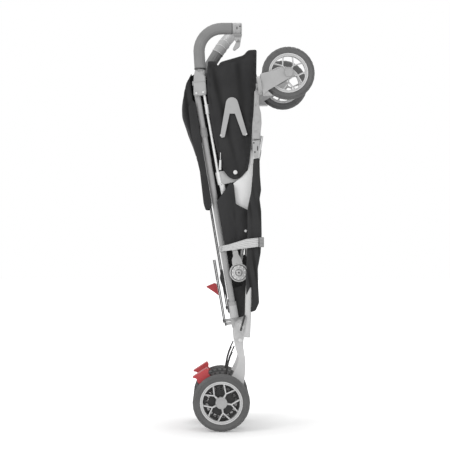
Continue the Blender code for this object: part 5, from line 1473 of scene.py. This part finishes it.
def makeBrackets():
    values = bracketSet
    for side in (rightSide, leftSide):
        depths = {key: (side * low, side * high) for key, (low, high) in values["depths"].items()}
        pads = [plateShape(points, *depths["pad"], rounding=0.0015, bevel=0.0006) for points in values["pads"]]
        pads.append(plateShape(values["buckle"], *depths["buckle"], rounding=0.0020, bevel=0.0006))
        detail(side, "bracket_pads", pads, "silver_plastic", "front")
        slots = [plateShape(values["gap"], *depths["gap"], rounding=0.0006, bevel=0.0002)]
        slots += [discShape(x, z, *depths["dot"], values["dotRadius"], 20) for x, z in values["dots"]]
        slots.append(plateShape(boxPoints(*values["slot"]), *depths["slot"], rounding=0.0008, bevel=0.0002))
        detail(side, "bracket_slots", slots, "dark_plastic", "front")
        rods = [rodShape((x, side * y, z), (endX, side * endY, endZ), radius)
                for (x, y, z), (endX, endY, endZ), radius in values["rods"]]
        detail(side, "pivot_stop", rods, "dark_plastic", "front")
    print("brackets dressed")


makeWheels()
makeHandles()
makeBrackets()


# floor, light and camera

# the floor's own light as (near, far, strength near, strength far); lamps as (place, size, power)
stageSet = {
    "white": 0.90, "lift": (0.15, 0.90, 0.16, 0.75), "world": 0.66, "aim": (0, 0, 0.55), "floorSize": 12,
    "floorDrop": 0.0005,
    "lamps": {"keyLamp": ((-2.0, -1.9, 2.3), 1.4, 30), "fillLamp": ((1.9, -2.0, 1.0), 1.8, 12),
              "topLamp": ((0.3, 0.6, 2.9), 1.2, 14)},
}


def makeFloor():
    made, tree, shader = newMaterial("stageWhite", specular=0.0)
    shader.inputs["Roughness"].default_value = 1.0
    shader.inputs["Base Color"].default_value = (*grey(stageSet["white"]), 1)
    # the floor is lit, so it keeps the shadow, and a little of its own light lifts it to white
    place = addNode(tree, "ShaderNodeTexCoord").outputs["Object"]
    reach = addNode(tree, "ShaderNodeVectorMath", place, operation="LENGTH").outputs["Value"]
    away = addNode(tree, "ShaderNodeMapRange", reach, *stageSet["lift"]).outputs[0]
    lift = addNode(tree, "ShaderNodeEmission", Color=(1, 1, 1, 1), Strength=away).outputs[0]
    white = addNode(tree, "ShaderNodeEmission", Color=(1, 1, 1, 1), Strength=1.0).outputs[0]
    rays = addNode(tree, "ShaderNodeLightPath").outputs
    lit = shader.outputs[0]
    lifted = addNode(tree, "ShaderNodeAddShader", lit, lift).outputs[0]
    plain = addNode(tree, "ShaderNodeMixShader", rays["Is Camera Ray"], lit, lifted).outputs[0]
    # glossy and clear surfaces see plain white
    mirrored = addNode(tree, "ShaderNodeMath", rays["Is Glossy Ray"], rays["Is Transmission Ray"],
                       operation="MAXIMUM").outputs[0]
    mix = addNode(tree, "ShaderNodeMixShader", mirrored, plain, white).outputs[0]
    feed(tree, tree.nodes["Material Output"].inputs["Surface"], mix)
    shape = bmesh.new()
    bmesh.ops.create_grid(shape, x_segments=1, y_segments=1, size=stageSet["floorSize"])
    bmesh.ops.translate(shape, vec=(0, 0, floorZ - stageSet["floorDrop"]), verts=shape.verts)
    floor = makeObject("studioFloor", shape)
    floor.data.materials.append(made)


def makeWorld():
    world = bpy.data.worlds.new("studio")
    bpy.context.scene.world = world
    world.use_nodes = True
    tree = world.node_tree
    background = tree.nodes["Background"]
    background.inputs["Strength"].default_value = stageSet["world"]
    background.inputs["Color"].default_value = (1, 1, 1, 1)
    bright = addNode(tree, "ShaderNodeBackground", Strength=1.0, Color=(1, 1, 1, 1)).outputs[0]
    seen = addNode(tree, "ShaderNodeLightPath").outputs["Is Camera Ray"]
    mix = addNode(tree, "ShaderNodeMixShader", seen, background.outputs[0], bright).outputs[0]
    feed(tree, tree.nodes["World Output"].inputs["Surface"], mix)


def makeLamp(name, place, size, power):
    data = bpy.data.lights.new(name, "AREA")
    data.energy = power
    data.size = size
    obj = bpy.data.objects.new(name, data)
    bpy.context.scene.collection.objects.link(obj)
    obj.location = place
    obj.rotation_euler = (Vector(stageSet["aim"]) - Vector(place)).to_track_quat("-Z", "Y").to_euler()


def makeCamera():
    data = bpy.data.cameras.new("view")
    data.lens = cameraSet["lens"]
    data.sensor_width = cameraSet["sensor"]
    data.shift_x, data.shift_y = cameraSet["shift"]
    obj = bpy.data.objects.new("view", data)
    bpy.context.scene.collection.objects.link(obj)
    obj.location = cameraSet["place"]
    obj.rotation_euler = (math.radians(90), 0, 0)
    bpy.context.scene.camera = obj


makeFloor()
makeWorld()
makeCamera()
for name, (place, size, power) in stageSet["lamps"].items():
    makeLamp(name, place, size, power)
bpy.context.scene.view_settings.view_transform = "Standard"
print("stage, camera and lamps made")
